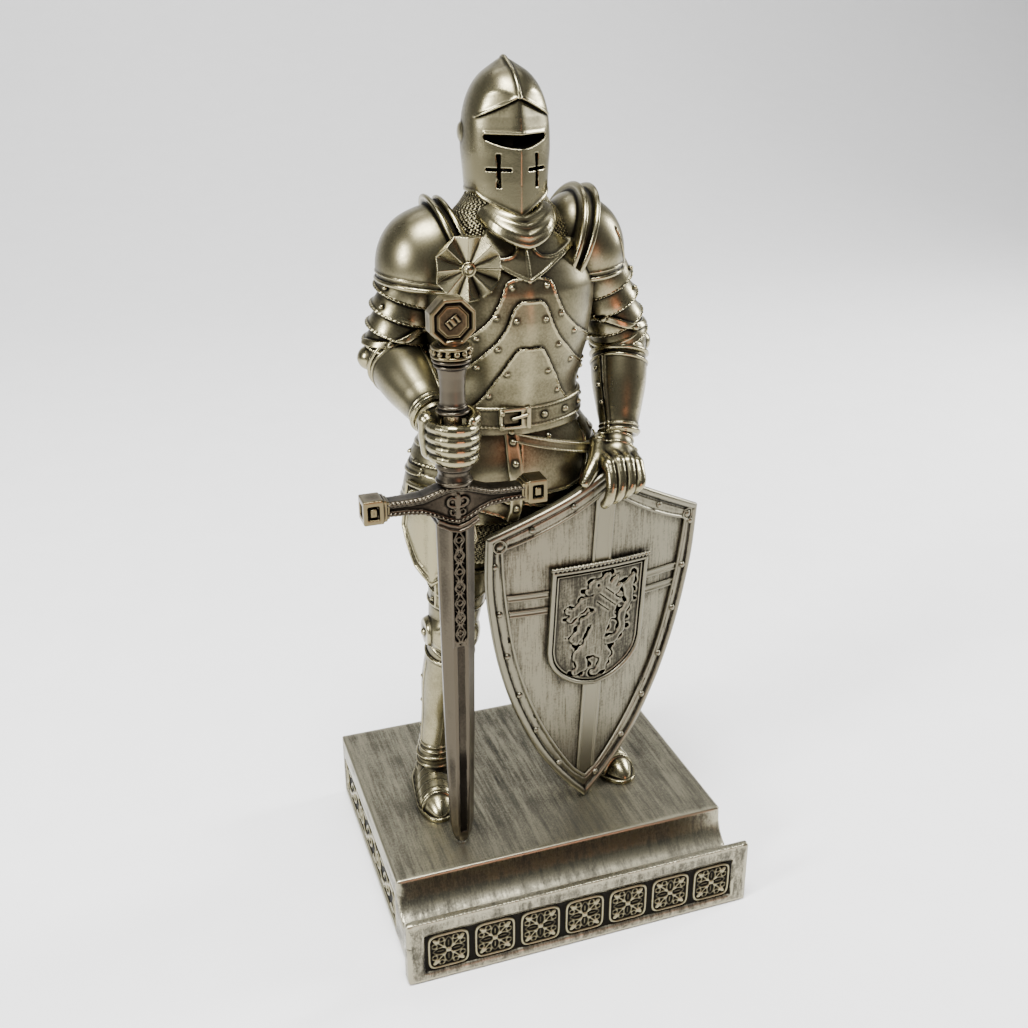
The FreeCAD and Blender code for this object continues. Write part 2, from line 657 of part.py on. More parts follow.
def make_arms(cuirass, dowels):
    """Both arms: pauldron, upper arm, elbow cop and forearm."""
    for side, sign in (("right", -1), ("left", 1)):
        sx = f"body_x + {sign} * shoulder_reach"
        centre = (sx, "body_y + 2", "shoulder_z")
        away = SEAM_TURN[side] * Rotation(UP, 180)
        dome = ball(f"{side}_pauldron_ball", centre, ("pauldron_x", "pauldron_y", "pauldron_z"),
                    away)
        flange = rod(f"{side}_flange", (f"{sx} - {sign * 10.4}", "body_y + 2", "shoulder_z + 1"),
                     (f"{sx} - {sign * 7.6}", "body_y + 2", "shoulder_z + 1"), "flange_r")
        low = box(f"{side}_pauldron_low", ("-80", "-40", "150"), ("160", "80", "pauldron_hem - 150"))
        inner = box(f"{side}_inner", ("body_x - collar_half - 0.1", "-40", "190"),
                    ("2 * collar_half + 0.2", "80", "60"))
        whole = fuse(f"{side}_shoulder", dome, flange)
        keep(f"{side}_pauldron", cut(f"{side}_pauldron", whole, low, inner, cuirass, dowels[side]))
        elbow, wrist = ELBOWS[side], WRISTS[side]
        arm = rod(f"{side}_arm", (sx, "body_y + 3", "203"), elbow, "upper_arm_r", "upper_arm_r - 1.6")
        cap = ball(f"{side}_elbow_ball", elbow, ("elbow_r", "elbow_r", "elbow_r - 1"))
        keep(f"{side}_elbow", cut(f"{side}_elbow", cap, cuirass))
        fore = rod(f"{side}_fore", elbow, wrist, "forearm_r", "wrist_r")
        zone = box(f"{side}_arm_zone", ("-80", "-40", "150"), ("160", "80", "pauldron_hem - 150"))
        arm = common(f"{side}_arm_below", arm, zone)
        keep(f"{side}_upper_arm", cut(f"{side}_upper_arm", arm, cuirass, cap, fore))
        keep(f"{side}_forearm", cut(f"{side}_forearm", fore, cap))


def make_right_hand():
    """The right fist: a bored grip of four fingers on the palm's heel."""
    fingers = 4
    step = f"(fist_top - fist_bottom) / {fingers}"
    profile = [("fist_bore_r", "fist_bottom"), ("fist_r - 0.8", "fist_bottom")]
    for k in range(fingers):
        if k:
            profile.append(("fist_r - 0.8", f"fist_bottom + {k} * {step}"))
        profile.append(("fist_r", f"fist_bottom + {k} * {step} + 0.8"))
        profile.append(("fist_r", f"fist_bottom + {k + 1} * {step} - 0.8"))
    profile += [("fist_r - 0.8", "fist_top"), ("fist_bore_r", "fist_top")]
    grip = turned("fist", profile)
    place(grip, ("sword_x", "sword_y", "0"))
    heel = rod("palm_heel", WRISTS["right"], ("sword_x - 1", "sword_y + 3", "163.4"), "5.2", "5.6")
    bore = rod("fist_bore", ("sword_x", "sword_y", "150"), ("sword_x", "sword_y", "180"),
               "fist_bore_r")
    solid = common("fist_band", fuse("fist_mass", grip, heel),
                   box("fist_zone", ("-80", "-60", "fist_bottom"), ("120", "90", "15")))
    keep("right_hand", cut("right_hand", solid, bore, doc.getObject("right_fore")))


def make_left_hand(shield_solid):
    """The left hand lies over the shield's top edge, four fingers in front and a thumb beside."""
    wrist = WRISTS["left"]
    knuckles = ("25.4", "-16.4", "144.2")
    shapes = [rod("left_palm", wrist, knuckles, "5.2", "6.2"),
              ball("left_knuckles", knuckles, ("8.4", "6.4", "4.6"))]
    for k in range(4):
        x = 19.6 + 4.1 * k
        tip = (str(x - 0.4), "-24.4", str(134.2 + 1.2 * k))
        shapes.append(rod(f"left_finger{k}", (str(x), "-19.6", "143.6"), tip, "2.2", "1.9"))
        shapes.append(ball(f"left_fingertip{k}", tip, ("1.9", "1.9", "1.9")))
    shapes.append(rod("left_thumb", ("20.4", "-15", "143"), ("12.2", "-20", "140.6"), "2.4", "1.9"))
    hand = fuse("left_hand_mass", *shapes)
    keep("left_hand", cut("left_hand", hand, doc.getObject("left_fore"), shield_solid,
                          nodes["left_tasset"]))


# ---------------------------------------------------------------- shield


def shield_outline(inset, name):
    """The heater shield's outline in its own plane, brought in by an inset."""
    corner, waist = f"(shield_half - 0.9 * {inset})", f"(shield_waist - {inset})"
    high, low = f"(shield_corner - 0.7 * {inset})", "(shield_corner - shield_drop)"
    points = [
        ("0", f"1.8 * {inset}"),
        ("arc", "side_curve", 1),
        (waist, low),
        (corner, high),
        ("arc", "top_curve", -1),
        ("0", f"shield_peak - 1.2 * {inset}"),
        ("arc", "top_curve", -1),
        (f"-{corner}", high),
        (f"-{waist}", low),
        ("arc", "side_curve", 1),
    ]
    return slab(name, "XZ_Plane", points, "60")


def shell_between(name, inner, outer):
    """The space between two heights over the shield's curved back face."""
    tubes = []
    for tag, height in (("in", inner), ("out", outer)):
        tubes.append(rod(f"{name}_{tag}", ("0", "shield_curve", "-10"),
                         ("0", "shield_curve", "150"), f"shield_curve + {height}"))
    return cut(name, tubes[1], tubes[0])


def make_shield():
    """The shield plate, its border, cross bands, inner shield and rivets, in the shield's plane."""
    turn = Rotation(UP, SHIELD_YAW) * Rotation(Vector(0, 1, 0), SHIELD_ROLL)
    turn = turn * Rotation(Vector(1, 0, 0), -SHIELD_PITCH)
    where = ("shield_x", "shield_y", "base_top + shield_gap")
    back = "-shield_thick"
    plate_space = shell_between("plate_space", back, "0")
    relief_space = shell_between("relief_space", "0", "relief")
    whole = shield_outline("0", "shield_whole")
    field = shield_outline("rim_wide", "shield_field")
    badge_shape = slab("badge_shape", "XZ_Plane", [
        ("0", "badge_bottom"), ("arc", "25", 1), ("badge_half", "badge_side"),
        ("badge_half", "badge_top"), ("-badge_half", "badge_top"),
        ("-badge_half", "badge_side"), ("arc", "25", 1),
    ], "60")
    upright = box("band_upright", ("-band_wide / 2", "-30", "0"), ("band_wide", "60", "130"))
    level = box("band_level", ("-60", "-30", "band_z - band_wide / 2"), ("120", "60", "band_wide"))
    cross = fuse("cross_shape", upright, level)
    plate = common("shield_plate_shape", whole, plate_space)
    border = common("shield_border_shape", cut("border_outline", whole, field), relief_space)
    bands = common("cross_bands_shape",
                   cut("cross_outline", common("cross_in_field", cross, field), badge_shape),
                   relief_space)
    badge = common("badge_body", badge_shape, shell_between("badge_space", "0", "2 * relief"))
    heads = []
    for index, (u, v) in enumerate(rivet_places()):
        lean = math.asin(u / number("shield_curve + relief"))
        spots = []
        for out in (0.0, 0.6):
            reach = f"(shield_curve + relief + {out})"
            spots.append((f"{reach} * {math.sin(lean):.6f}",
                          f"shield_curve - {reach} * {math.cos(lean):.6f}", f"{v:.2f}"))
        heads.append(rod(f"rivet{index}", *spots, "rivet_r", "rivet_r * 0.55"))
    rivets = fuse("rivet_heads", *heads)
    shapes = {"shield_plate": plate, "shield_border": border, "shield_bands": bands,
              "shield_badge": badge, "shield_rivets": rivets}
    for label, shape in shapes.items():
        keep(label, place(shape, where, turn))
    whole_tool = common("shield_solid", shield_outline("0", "shield_whole_tool"),
                        shell_between("tool_space", f"{back} - 0.15", "relief + 0.15"))
    return place(whole_tool, where, turn)


def rivet_places():
    """Rivet centres along the middle of the shield's border, in its own plane."""
    half, corner, peak, wide = (number(n) for n in
                                ("shield_half", "shield_corner", "shield_peak", "rim_wide"))
    mid = wide / 2
    found = [(0.0, peak - wide * 0.8), (0.0, wide * 0.9)]
    for share in (0.33, 0.66):
        u, v = (half - mid) * share, peak - mid * 1.15 - (peak - corner) * share
        found += [(u, v), (-u, v)]
    for below in (3.6, 19.0, 34.5, 50.0, 65.0, 80.0):
        v = corner - below
        u = side_of_shield(v) - mid
        found += [(u, v), (-u, v)]
    return found


def side_of_shield(v):
    """Half width of the shield's outline at a height above its point."""
    half, waist, radius = number("shield_half"), number("shield_waist"), number("side_curve")
    low = number("shield_corner - shield_drop")
    if v >= low:
        return waist + (half - waist) * (v - low) / number("shield_drop")
    chord = math.hypot(waist, low)
    rise = math.sqrt(radius**2 - chord**2 / 4)
    cx, cy = waist / 2 - low / chord * rise, low / 2 + waist / chord * rise
    return cx + math.sqrt(radius**2 - (v - cy) ** 2)


# ---------------------------------------------------------------- blade, guard and pen


def make_sword():
    """The hollow blade, its guard and fittings, and the pen that stands in them."""
    axis = ("sword_x", "sword_y")

    def level(z):
        return (*axis, z)

    blade = stack("blade_loft", [
        ("blade_tip", *axis, "2.0", "1.5"), ("blade_tip + 2.2", *axis, "3.3", "2.3"),
        ("blade_tip + 8", *axis, "3.9", "2.7"), ("blade_tip + 40", *axis, "4.7", "3.3"),
        ("blade_top", *axis, "blade_half_w", "blade_half_t"),
    ], ruled=True)
    bore = turned("sheath_bore", [("0", "nib_z - 2"), ("1.3", "nib_z - 2"), ("1.3", "nib_z + 4"),
                                  ("sheath_bore_r", "barrel_bottom - 1"),
                                  ("sheath_bore_r", "fist_bottom + 1"), ("0", "fist_bottom + 1")])
    place(bore, (*axis, "0"))
    grooves = []
    for side in (-1, 1):
        y = f"sword_y + {side} * (blade_half_t + 0.45)"
        grooves.append(rod(f"fuller_{side + 1}", ("sword_x", y, "blade_tip + 12"),
                           ("sword_x", f"sword_y + {side} * (blade_half_t + 1.1)", "blade_top"),
                           "1.1"))
    pin = rod("tip_pin_rod", level("base_top - 5"), level("blade_tip + 5"), "1.2")
    keep("blade_sheath", cut("blade_sheath", blade, bore, pin, *grooves))
    keep("blade_pin", pin)
    outline = [("-guard_half + 7", "-2.3"), ("-11", "-2.2"), ("-5.6", "-5.6"), ("0", "-6.8"),
               ("5.6", "-5.6"), ("11", "-2.2"), ("guard_half - 7", "-2.3"),
               ("guard_half - 7", "2.3"), ("11", "2.4"), ("6", "5.2"), ("-6", "5.2"),
               ("-11", "2.4"), ("-guard_half + 7", "2.3")]
    bar = slab("guard_bar", "XZ_Plane", outline, "guard_thick")
    place(bar, ("sword_x", "sword_y", "guard_z"))
    clear_blade = rod("blade_seat", level("130"), level("blade_top + 2"), "7")
    keep("cross_guard", cut("cross_guard", bar, bore, clear_blade))
    caps = []
    for side in (-1, 1):
        cap = slab(f"cap_{side + 1}", "XZ_Plane", [
            (f"{side} * (guard_half - 7)", "-2.9"), (f"{side} * (guard_half - 6)", "-3.7"),
            (f"{side} * guard_half", "-3.1"), (f"{side} * guard_half", "3.1"),
            (f"{side} * (guard_half - 6)", "3.7"), (f"{side} * (guard_half - 7)", "2.9"),
        ], "guard_thick + 0.4")
        caps.append(place(cap, ("sword_x", "sword_y", "guard_z")))
    keep("guard_caps", fuse("guard_cap_pair", *caps))
    locket = turned("locket", [("0", "blade_top"), ("6", "blade_top"), ("6.2", "blade_top + 2"),
                               ("0", "blade_top + 2")])
    place(locket, (*axis, "0"))
    keep("blade_locket", cut("blade_locket", locket, bore))
    hilt_ring = turned("hilt_ring", [
        ("sheath_bore_r", "guard_z + 5.2"), ("5.4", "guard_z + 5.2"), ("5.4", "guard_z + 6.4"),
        ("4.4", "guard_z + 7.2"), ("5.2", "guard_z + 8.2"), ("4.4", "guard_z + 9.2"),
        ("4.8", "fist_bottom - 0.3"), ("sheath_bore_r", "fist_bottom - 0.3"),
    ])
    keep("hilt_ring", place(hilt_ring, (*axis, "0")))
    make_pen(axis)


def make_pen(axis):
    """The pen: barrel, point, refill, grip, beaded collar, pommel and its inset."""
    barrel = turned("barrel", [
        ("refill_r + 0.35", "barrel_bottom"), ("barrel_r", "barrel_bottom"),
        ("barrel_r", "grip_bottom - 0.3"), ("tenon_r", "grip_bottom - 0.3"),
        ("tenon_r", "tenon_top"), ("refill_r + 0.35", "tenon_top"),
    ])
    keep("pen_barrel", place(barrel, (*axis, "0")))
    point_cone = turned("pen_point", [
        ("0.55", "nib_z + 1.5"), ("0.8", "nib_z + 1.5"), ("barrel_r - 0.1", "barrel_bottom"),
        ("refill_r + 0.35", "barrel_bottom"), ("refill_r + 0.35", "nib_z + 9"),
        ("0.55", "nib_z + 7.5"),
    ])
    keep("pen_point", place(point_cone, (*axis, "0")))
    refill = turned("refill", [
        ("0", "nib_z"), ("0.35", "nib_z"), ("0.5", "nib_z + 1.5"), ("0.5", "nib_z + 7.6"),
        ("refill_r", "nib_z + 9.4"), ("refill_r", "nib_z + 67"), ("0", "nib_z + 67"),
    ])
    keep("ink_refill", place(refill, (*axis, "0")))
    grip = turned("grip", [
        ("tenon_r + 0.06", "grip_bottom"), ("4", "grip_bottom"), ("4.2", "grip_bottom + 0.8"),
        ("3.7", "grip_bottom + 1.6"), ("3.55", "grip_bottom + 5"), ("3.9", "grip_top - 4"),
        ("4.6", "grip_top - 0.8"), ("4.9", "grip_top"), ("0", "grip_top"),
        ("0", "tenon_top + 1"), ("tenon_r + 0.06", "tenon_top + 1"),
    ])
    keep("pen_grip", place(grip, (*axis, "0")))
    collar = turned("collar", [
        ("0", "grip_top"), ("collar_r", "grip_top"), ("collar_r", "grip_top + 0.9"),
        ("4.6", "grip_top + 1.1"), ("4.6", "collar_top - 0.6"), ("4.2", "collar_top"),
        ("0", "collar_top"),
    ])
    place(collar, (*axis, "0"))
    beads = []
    for k in range(COLLAR_BEADS):
        angle = 2 * math.pi * k / COLLAR_BEADS
        spots = [(f"sword_x + {reach * math.cos(angle):.5f}",
                  f"sword_y + {reach * math.sin(angle):.5f}", "grip_top + 1.95") for reach in (4, 5.4)]
        beads.append(rod(f"bead{k}", *spots, "0.7"))
    keep("beaded_collar", fuse("beaded_collar", collar, *beads))
    corner = f"pommel_flat / {math.cos(math.pi / POMMEL_SIDES):.6f}"
    half_turn = 180.0 / POMMEL_SIDES
    disc = slab("pommel_disc", "XZ_Plane",
                ring_of_points(("0", "0"), corner, POMMEL_SIDES, half_turn), "pommel_thick")
    place(disc, ("sword_x", "sword_y", "pommel_z"))
    neck = rod("pommel_neck", ("sword_x", "sword_y", "collar_top"),
               ("sword_x", "sword_y", "pommel_z - 3"), "3", "1.8")
    insets = []
    for side in (-1, 1):
        inset = slab(f"inset_{side + 1}", "XZ_Plane",
                     ring_of_points(("0", "0"), f"{corner} * 0.64", POMMEL_SIDES, half_turn), "1.2")
        y = f"sword_y + {side} * (pommel_thick / 2 - 0.6)"
        insets.append(place(inset, ("sword_x", y, "pommel_z")))
    keep("pommel", cut("pommel", fuse("pommel_mass", disc, neck), *insets))
    keep("pommel_insets", fuse("pommel_inset_pair", *insets))


def make_rondel():
    """The eight-sided rondel in front of the right armpit, its boss and its pin."""
    corner = f"rondel_r / {math.cos(math.pi / 8):.6f}"
    disc = slab("rondel_disc", "XZ_Plane", ring_of_points(("0", "0"), corner, 8, 22.5), "1.8")
    face = Rotation(UP, -8)
    where = ("rondel_x", "rondel_y", "rondel_z")
    place(disc, where, face)
    boss = ball("rondel_boss_ball", ("rondel_x - 0.2", "rondel_y - 1", "rondel_z"),
                ("1.6", "1.5", "1.6"))
    pin = rod("rondel_pin_rod", ("rondel_x", "rondel_y", "rondel_z"),
              ("rondel_x", "rondel_y + 9", "rondel_z"), "1")
    keep("rondel", cut("rondel", disc, boss, pin, nodes["cuirass"], nodes["right_pauldron"]))
    keep("rondel_boss", boss)
    keep("rondel_pin", cut("rondel_pin", pin, boss, nodes["cuirass"], nodes["right_pauldron"]))


# ---------------------------------------------------------------- build, check and export


def check_and_export():
    """Stops on any failed object or bad shape, then writes one STEP file per sub-part."""
    doc.recompute()
    for obj in doc.Objects:
        if "Invalid" in obj.State or "Error" in obj.State:
            raise RuntimeError(f"{obj.Name} failed: {obj.State}")
    os.makedirs(PARTS_FOLDER, exist_ok=True)
    for label, obj in sorted(nodes.items()):
        shape = obj.Shape
        if shape.isNull() or not shape.isValid() or not shape.Solids:
            raise RuntimeError(f"{label} has no valid solid")
        Part.Compound(shape.Solids) if len(shape.Solids) > 1 else shape.Solids[0]
        shape.exportStep(f"{PARTS_FOLDER}/{label}.step")
        print(f"{label:16s} solids {len(shape.Solids)} volume {shape.Volume:9.1f} mm3")


screw_tools, _ = make_plinth()
thigh_nodes = make_legs(screw_tools)
shield_tool = make_shield()
fauld_solid, waist_rod = make_fauld(thigh_nodes, shield_tool)
cuirass_solid, neck_rod, arm_dowels = make_trunk(waist_rod)
make_head(cuirass_solid, neck_rod)
make_arms(cuirass_solid, arm_dowels)
make_right_hand()
make_left_hand(shield_tool)
make_sword()
make_rondel()
check_and_export()
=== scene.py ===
import functools
import math

import bpy
import numpy as np
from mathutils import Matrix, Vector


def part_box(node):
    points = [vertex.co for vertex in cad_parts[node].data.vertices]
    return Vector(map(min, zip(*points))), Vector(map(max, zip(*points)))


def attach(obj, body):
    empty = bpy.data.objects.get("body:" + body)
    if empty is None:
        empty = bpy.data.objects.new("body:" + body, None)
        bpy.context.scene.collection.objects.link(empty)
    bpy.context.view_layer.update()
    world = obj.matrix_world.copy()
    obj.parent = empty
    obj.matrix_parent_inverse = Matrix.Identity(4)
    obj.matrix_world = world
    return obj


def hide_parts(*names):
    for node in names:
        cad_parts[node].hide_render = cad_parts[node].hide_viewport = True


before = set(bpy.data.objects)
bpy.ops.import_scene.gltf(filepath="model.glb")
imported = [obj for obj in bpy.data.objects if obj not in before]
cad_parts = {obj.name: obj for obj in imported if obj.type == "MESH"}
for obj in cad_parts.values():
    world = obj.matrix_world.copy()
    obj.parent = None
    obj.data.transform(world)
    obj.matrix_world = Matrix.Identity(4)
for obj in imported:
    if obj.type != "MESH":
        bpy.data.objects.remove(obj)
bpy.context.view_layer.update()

import openvdb
from mathutils import Matrix

MM = 0.001
PIECES = []
F = np.float32
AWAY = 9.0  # a distance that counts as nowhere near, in mm
CRUMB = 60  # faces in the biggest stray scrap that is dropped

# ---------------------------------------------------------------- places read off the CAD model


# The knight's trunk is drawn about this point, in mm, and everything else is drawn in step with it.
TRUNK_AT = (-5, 2, 188)
BODY_X = TRUNK_AT[0]


def corners(node):
    """The low and high corners of a CAD node's box, in mm."""
    low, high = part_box(node)
    return np.array(low) / MM, np.array(high) / MM


def middle(node):
    low, high = corners(node)
    return (low + high) / 2


# How far the CAD's cuirass stands from where the trunk is drawn: the whole drawing moves by this.
SHIFT = middle("cuirass") - TRUNK_AT


# ---------------------------------------------------------------- distances, curves and blends


def unit(v):
    v = np.array(v, float)
    return v / np.linalg.norm(v)


def least(*values):
    """The smallest value at each point: of distances, where any of the shapes is."""
    return functools.reduce(np.minimum, values)


def most(*values):
    """The largest value at each point: of distances, where all of the shapes are."""
    return functools.reduce(np.maximum, values)


def smin(a, b, k):
    """The nearer of two distances, rounded where they meet over k mm."""
    if k <= 0:
        return least(a, b)
    t = np.clip(0.5 + 0.5 * (b - a) / k, 0, 1)
    return b + (a - b) * t - k * t * (1 - t)


def smax(a, b, k):
    """The farther of two distances, rounded in the same way."""
    return -smin(-a, -b, k)


def flow(xs, ys, x):
    """A smooth curve through (xs, ys) that never overshoots."""
    xs, ys = np.asarray(xs, float), np.asarray(ys, float)
    x = np.clip(x, xs[0], xs[-1])
    h = np.diff(xs)
    s = np.diff(ys) / h
    m = np.empty(len(xs))
    m[0], m[-1] = s[0], s[-1]
    same = s[:-1] * s[1:] > 0
    m[1:-1] = np.where(same, 2 * s[:-1] * s[1:] / np.where(same, s[:-1] + s[1:], 1), 0)
    i = np.clip(np.searchsorted(xs, x) - 1, 0, len(h) - 1)
    t = (x - xs[i]) / h[i]
    low = ys[i] * (1 + 2 * t) * (1 - t) ** 2 + h[i] * m[i] * t * (1 - t) ** 2
    return low + ys[i + 1] * t * t * (3 - 2 * t) - h[i] * m[i + 1] * t * t * (1 - t)


def look_up(x, xs, ys, fine=0.2):
    """flow() over large arrays, through a table."""
    table = np.arange(xs[0], xs[-1] + fine, fine)
    return np.interp(x, table, flow(xs, ys, table)).astype(F)


def smooth(points, count=5, closed=False):
    """A finer polyline through the points."""
    p = np.array(points, float)
    n = len(p)
    out = []
    for i in range(n if closed else n - 1):
        if closed:
            a, b, c, d = p[(i - 1) % n], p[i], p[(i + 1) % n], p[(i + 2) % n]
        else:
            a, b, c, d = p[max(i - 1, 0)], p[i], p[i + 1], p[min(i + 2, n - 1)]
        for t in np.arange(count) / count:
            out.append(0.5 * (2 * b + (c - a) * t + (2 * a - 5 * b + 4 * c - d) * t * t
                              + (3 * b - a - 3 * c + d) * t ** 3))
    if not closed:
        out.append(p[-1])
    return np.array(out)


def gap(u, v, points, closed=False, reach=3.0):
    """Distance in a surface's own (u, v) to a polyline, worked out only close to it."""
    p = np.array(points, float)
    if closed:
        p = np.vstack([p, p[:1]])
    u, v = np.broadcast_arrays(u, v)
    out = np.full(u.shape, reach, F)
    low, high = p.min(0) - reach, p.max(0) + reach
    pick = np.nonzero((u > low[0]) & (u < high[0]) & (v > low[1]) & (v < high[1]))
    a, b = u[pick].astype(F), v[pick].astype(F)
    best = np.full(a.shape, reach * reach, F)
    for (x0, y0), (x1, y1) in zip(p[:-1], p[1:]):
        dx, dy = x1 - x0, y1 - y0
        t = np.clip(((a - x0) * dx + (b - y0) * dy) / (dx * dx + dy * dy + 1e-9), 0, 1)
        np.minimum(best, (a - x0 - t * dx) ** 2 + (b - y0 - t * dy) ** 2, out=best)
    out[pick] = np.sqrt(best)
    return out


def inside(u, v, points):
    """Whether (u, v) lies in a closed outline."""
    p = np.array(points, float)
    u, v = np.broadcast_arrays(u, v)
    odd = np.zeros(u.shape, bool)
    for (x0, y0), (x1, y1) in zip(p, np.roll(p, -1, axis=0)):
        if y0 == y1:
            continue
        cross = (v > min(y0, y1)) & (v <= max(y0, y1))
        odd ^= cross & (u < x0 + (v - y0) * (x1 - x0) / (y1 - y0))
    return odd


def edge(u, v, points, reach=3.0):
    """Signed distance to a closed outline in (u, v): negative inside."""
    away = gap(u, v, points, closed=True, reach=reach)
    return np.where(inside(u, v, points), -away, away)


# ---------------------------------------------------------------- shapes


class Shape:
    """A distance field with the box outside which it doesn't matter."""

    def __init__(self, far, low, high):
        self.far, self.low, self.high = far, np.array(low, float), np.array(high, float)


def egg(c, r, turn=None):
    """An ellipsoid about c, its axes along turn's rows."""
    c, r = np.array(c, float), np.array(r, float) * np.ones(3)

    def far(x, y, z):
        p = [x - c[0], y - c[1], z - c[2]]
        if turn is not None:
            p = [turn[i][0] * p[0] + turn[i][1] * p[1] + turn[i][2] * p[2] for i in range(3)]
        k = np.sqrt(sum((p[i] / r[i]) ** 2 for i in range(3)))
        return k * (k - 1) / (np.sqrt(sum((p[i] / r[i] ** 2) ** 2 for i in range(3))) + 1e-6)

    reach = np.full(3, r.max()) if turn is not None else r
    return Shape(far, c - reach, c + reach)


def rod(a, b, ra, rb=None):
    """A round-ended bar from a to b."""
    a, b = np.array(a, float), np.array(b, float)
    rb = ra if rb is None else rb
    d = b - a
    span = max(float(d @ d), 1e-6)

    def far(x, y, z):
        px, py, pz = x - a[0], y - a[1], z - a[2]
        t = np.clip((px * d[0] + py * d[1] + pz * d[2]) / span, 0, 1)
        return np.sqrt((px - t * d[0]) ** 2 + (py - t * d[1]) ** 2 + (pz - t * d[2]) ** 2) \
            - (ra + (rb - ra) * t)

    return Shape(far, least(a - ra, b - rb), most(a + ra, b + rb))


def tube(path, radii):
    """A round cord along a path, one radius for each point."""
    path, radii = np.array(path, float), np.array(radii, float) * np.ones(len(path))
    parts = [rod(a, b, ra, rb) for a, b, ra, rb in zip(path[:-1], path[1:], radii[:-1], radii[1:])]

    def far(x, y, z):
        best = parts[0].far(x, y, z)
        for part in parts[1:]:
            best = np.minimum(best, part.far(x, y, z))
        return best

    return Shape(far, (path - radii[:, None]).min(0), (path + radii[:, None]).max(0))


def axes(along, front=(0, -1, 0)):
    """Rows: side, front, along."""
    n = unit(along)
    f = np.array(front, float)
    f = unit(f - (f @ n) * n)
    return np.array([np.cross(f, n), f, n])


def block(c, half, round_=0.3):
    """A box about c with rounded edges."""
    c, half = np.array(c, float), np.array(half, float)

    def far(x, y, z):
        q = [np.abs(v - c[i]) - half[i] + round_ for i, v in enumerate((x, y, z))]
        out = np.sqrt(sum(most(v, 0) ** 2 for v in q))
        return out + least(most(*q), 0) - round_

    return Shape(far, c - half, c + half)


def along_rows(rows, start, x, y, z):
    """How far points stand from start along each row."""
    p = (x - start[0], y - start[1], z - start[2])
    return [r[0] * p[0] + r[1] * p[1] + r[2] * p[2] for r in rows]


class Bone:
    """Round-the-limb coordinates: t along, r out, w angle from the front."""

    def __init__(self, a, b, front=(0, -1, 0), flat=1.0):
        self.a, self.b = np.array(a, float), np.array(b, float)
        self.long = float(np.linalg.norm(self.b - self.a))
        self.rows, self.flat = axes(self.b - self.a, front), flat

    def at(self, x, y, z):
        s, f, t = along_rows(self.rows, self.a, x, y, z)
        s = s / self.flat
        return t, np.sqrt(f * f + s * s), np.arctan2(s, f)

    def limb(self, ts, rs, round_=0.6):
        """A turned shape from distances along the bone and radii there."""
        widest = max(rs) * max(self.flat, 1) + 1

        def far(x, y, z):
            t, r, _ = self.at(x, y, z)
            side = (r - look_up(t, ts, rs)) * 0.97
            return smax(side, smax(ts[0] - t, t - ts[-1], 0), round_)

        low = least(self.a, self.b) - widest
        high = most(self.a, self.b) + widest
        return Shape(far, low, high)


class Trunk:
    """A loft of half-ellipses: rows of z, centre x, centre y, half width, front and back depth."""

    def __init__(self, rows):
        rows = np.array(rows, float)
        self.z = np.arange(rows[0, 0], rows[-1, 0] + 0.2, 0.2)
        self.rows = [flow(rows[:, 0], rows[:, i], self.z) for i in range(1, 6)]

    def at(self, z):
        return [np.interp(z, self.z, row).astype(F) for row in self.rows]

    def far(self, x, y, z):
        cx, cy, a, front, back = self.at(z)
        dx, dy = x - cx, y - cy
        b = np.where(dy < 0, front, back)
        k = np.sqrt((dx / a) ** 2 + (dy / b) ** 2)
        return k * (k - 1) / (np.sqrt((dx / a ** 2) ** 2 + (dy / b ** 2) ** 2) + 1e-6)

    def round(self, x, y, z, mean):
        """Arc length from the front, to the left positive, on a mean radius pair."""
        cx, cy, a, front, back = self.at(z)
        dx, dy = x - cx, y - cy
        turn = np.arctan2(dx / a, -dy / np.where(dy < 0, front, back))
        w = np.linspace(0, math.pi, 400)
        step = np.hypot(mean[0] * np.cos(w), mean[1] * np.sin(w)) * (w[1] - w[0])
        return np.sign(turn) * np.interp(np.abs(turn), w, np.cumsum(step) - step[0])


# ---------------------------------------------------------------- clay: distances skinned into a mesh


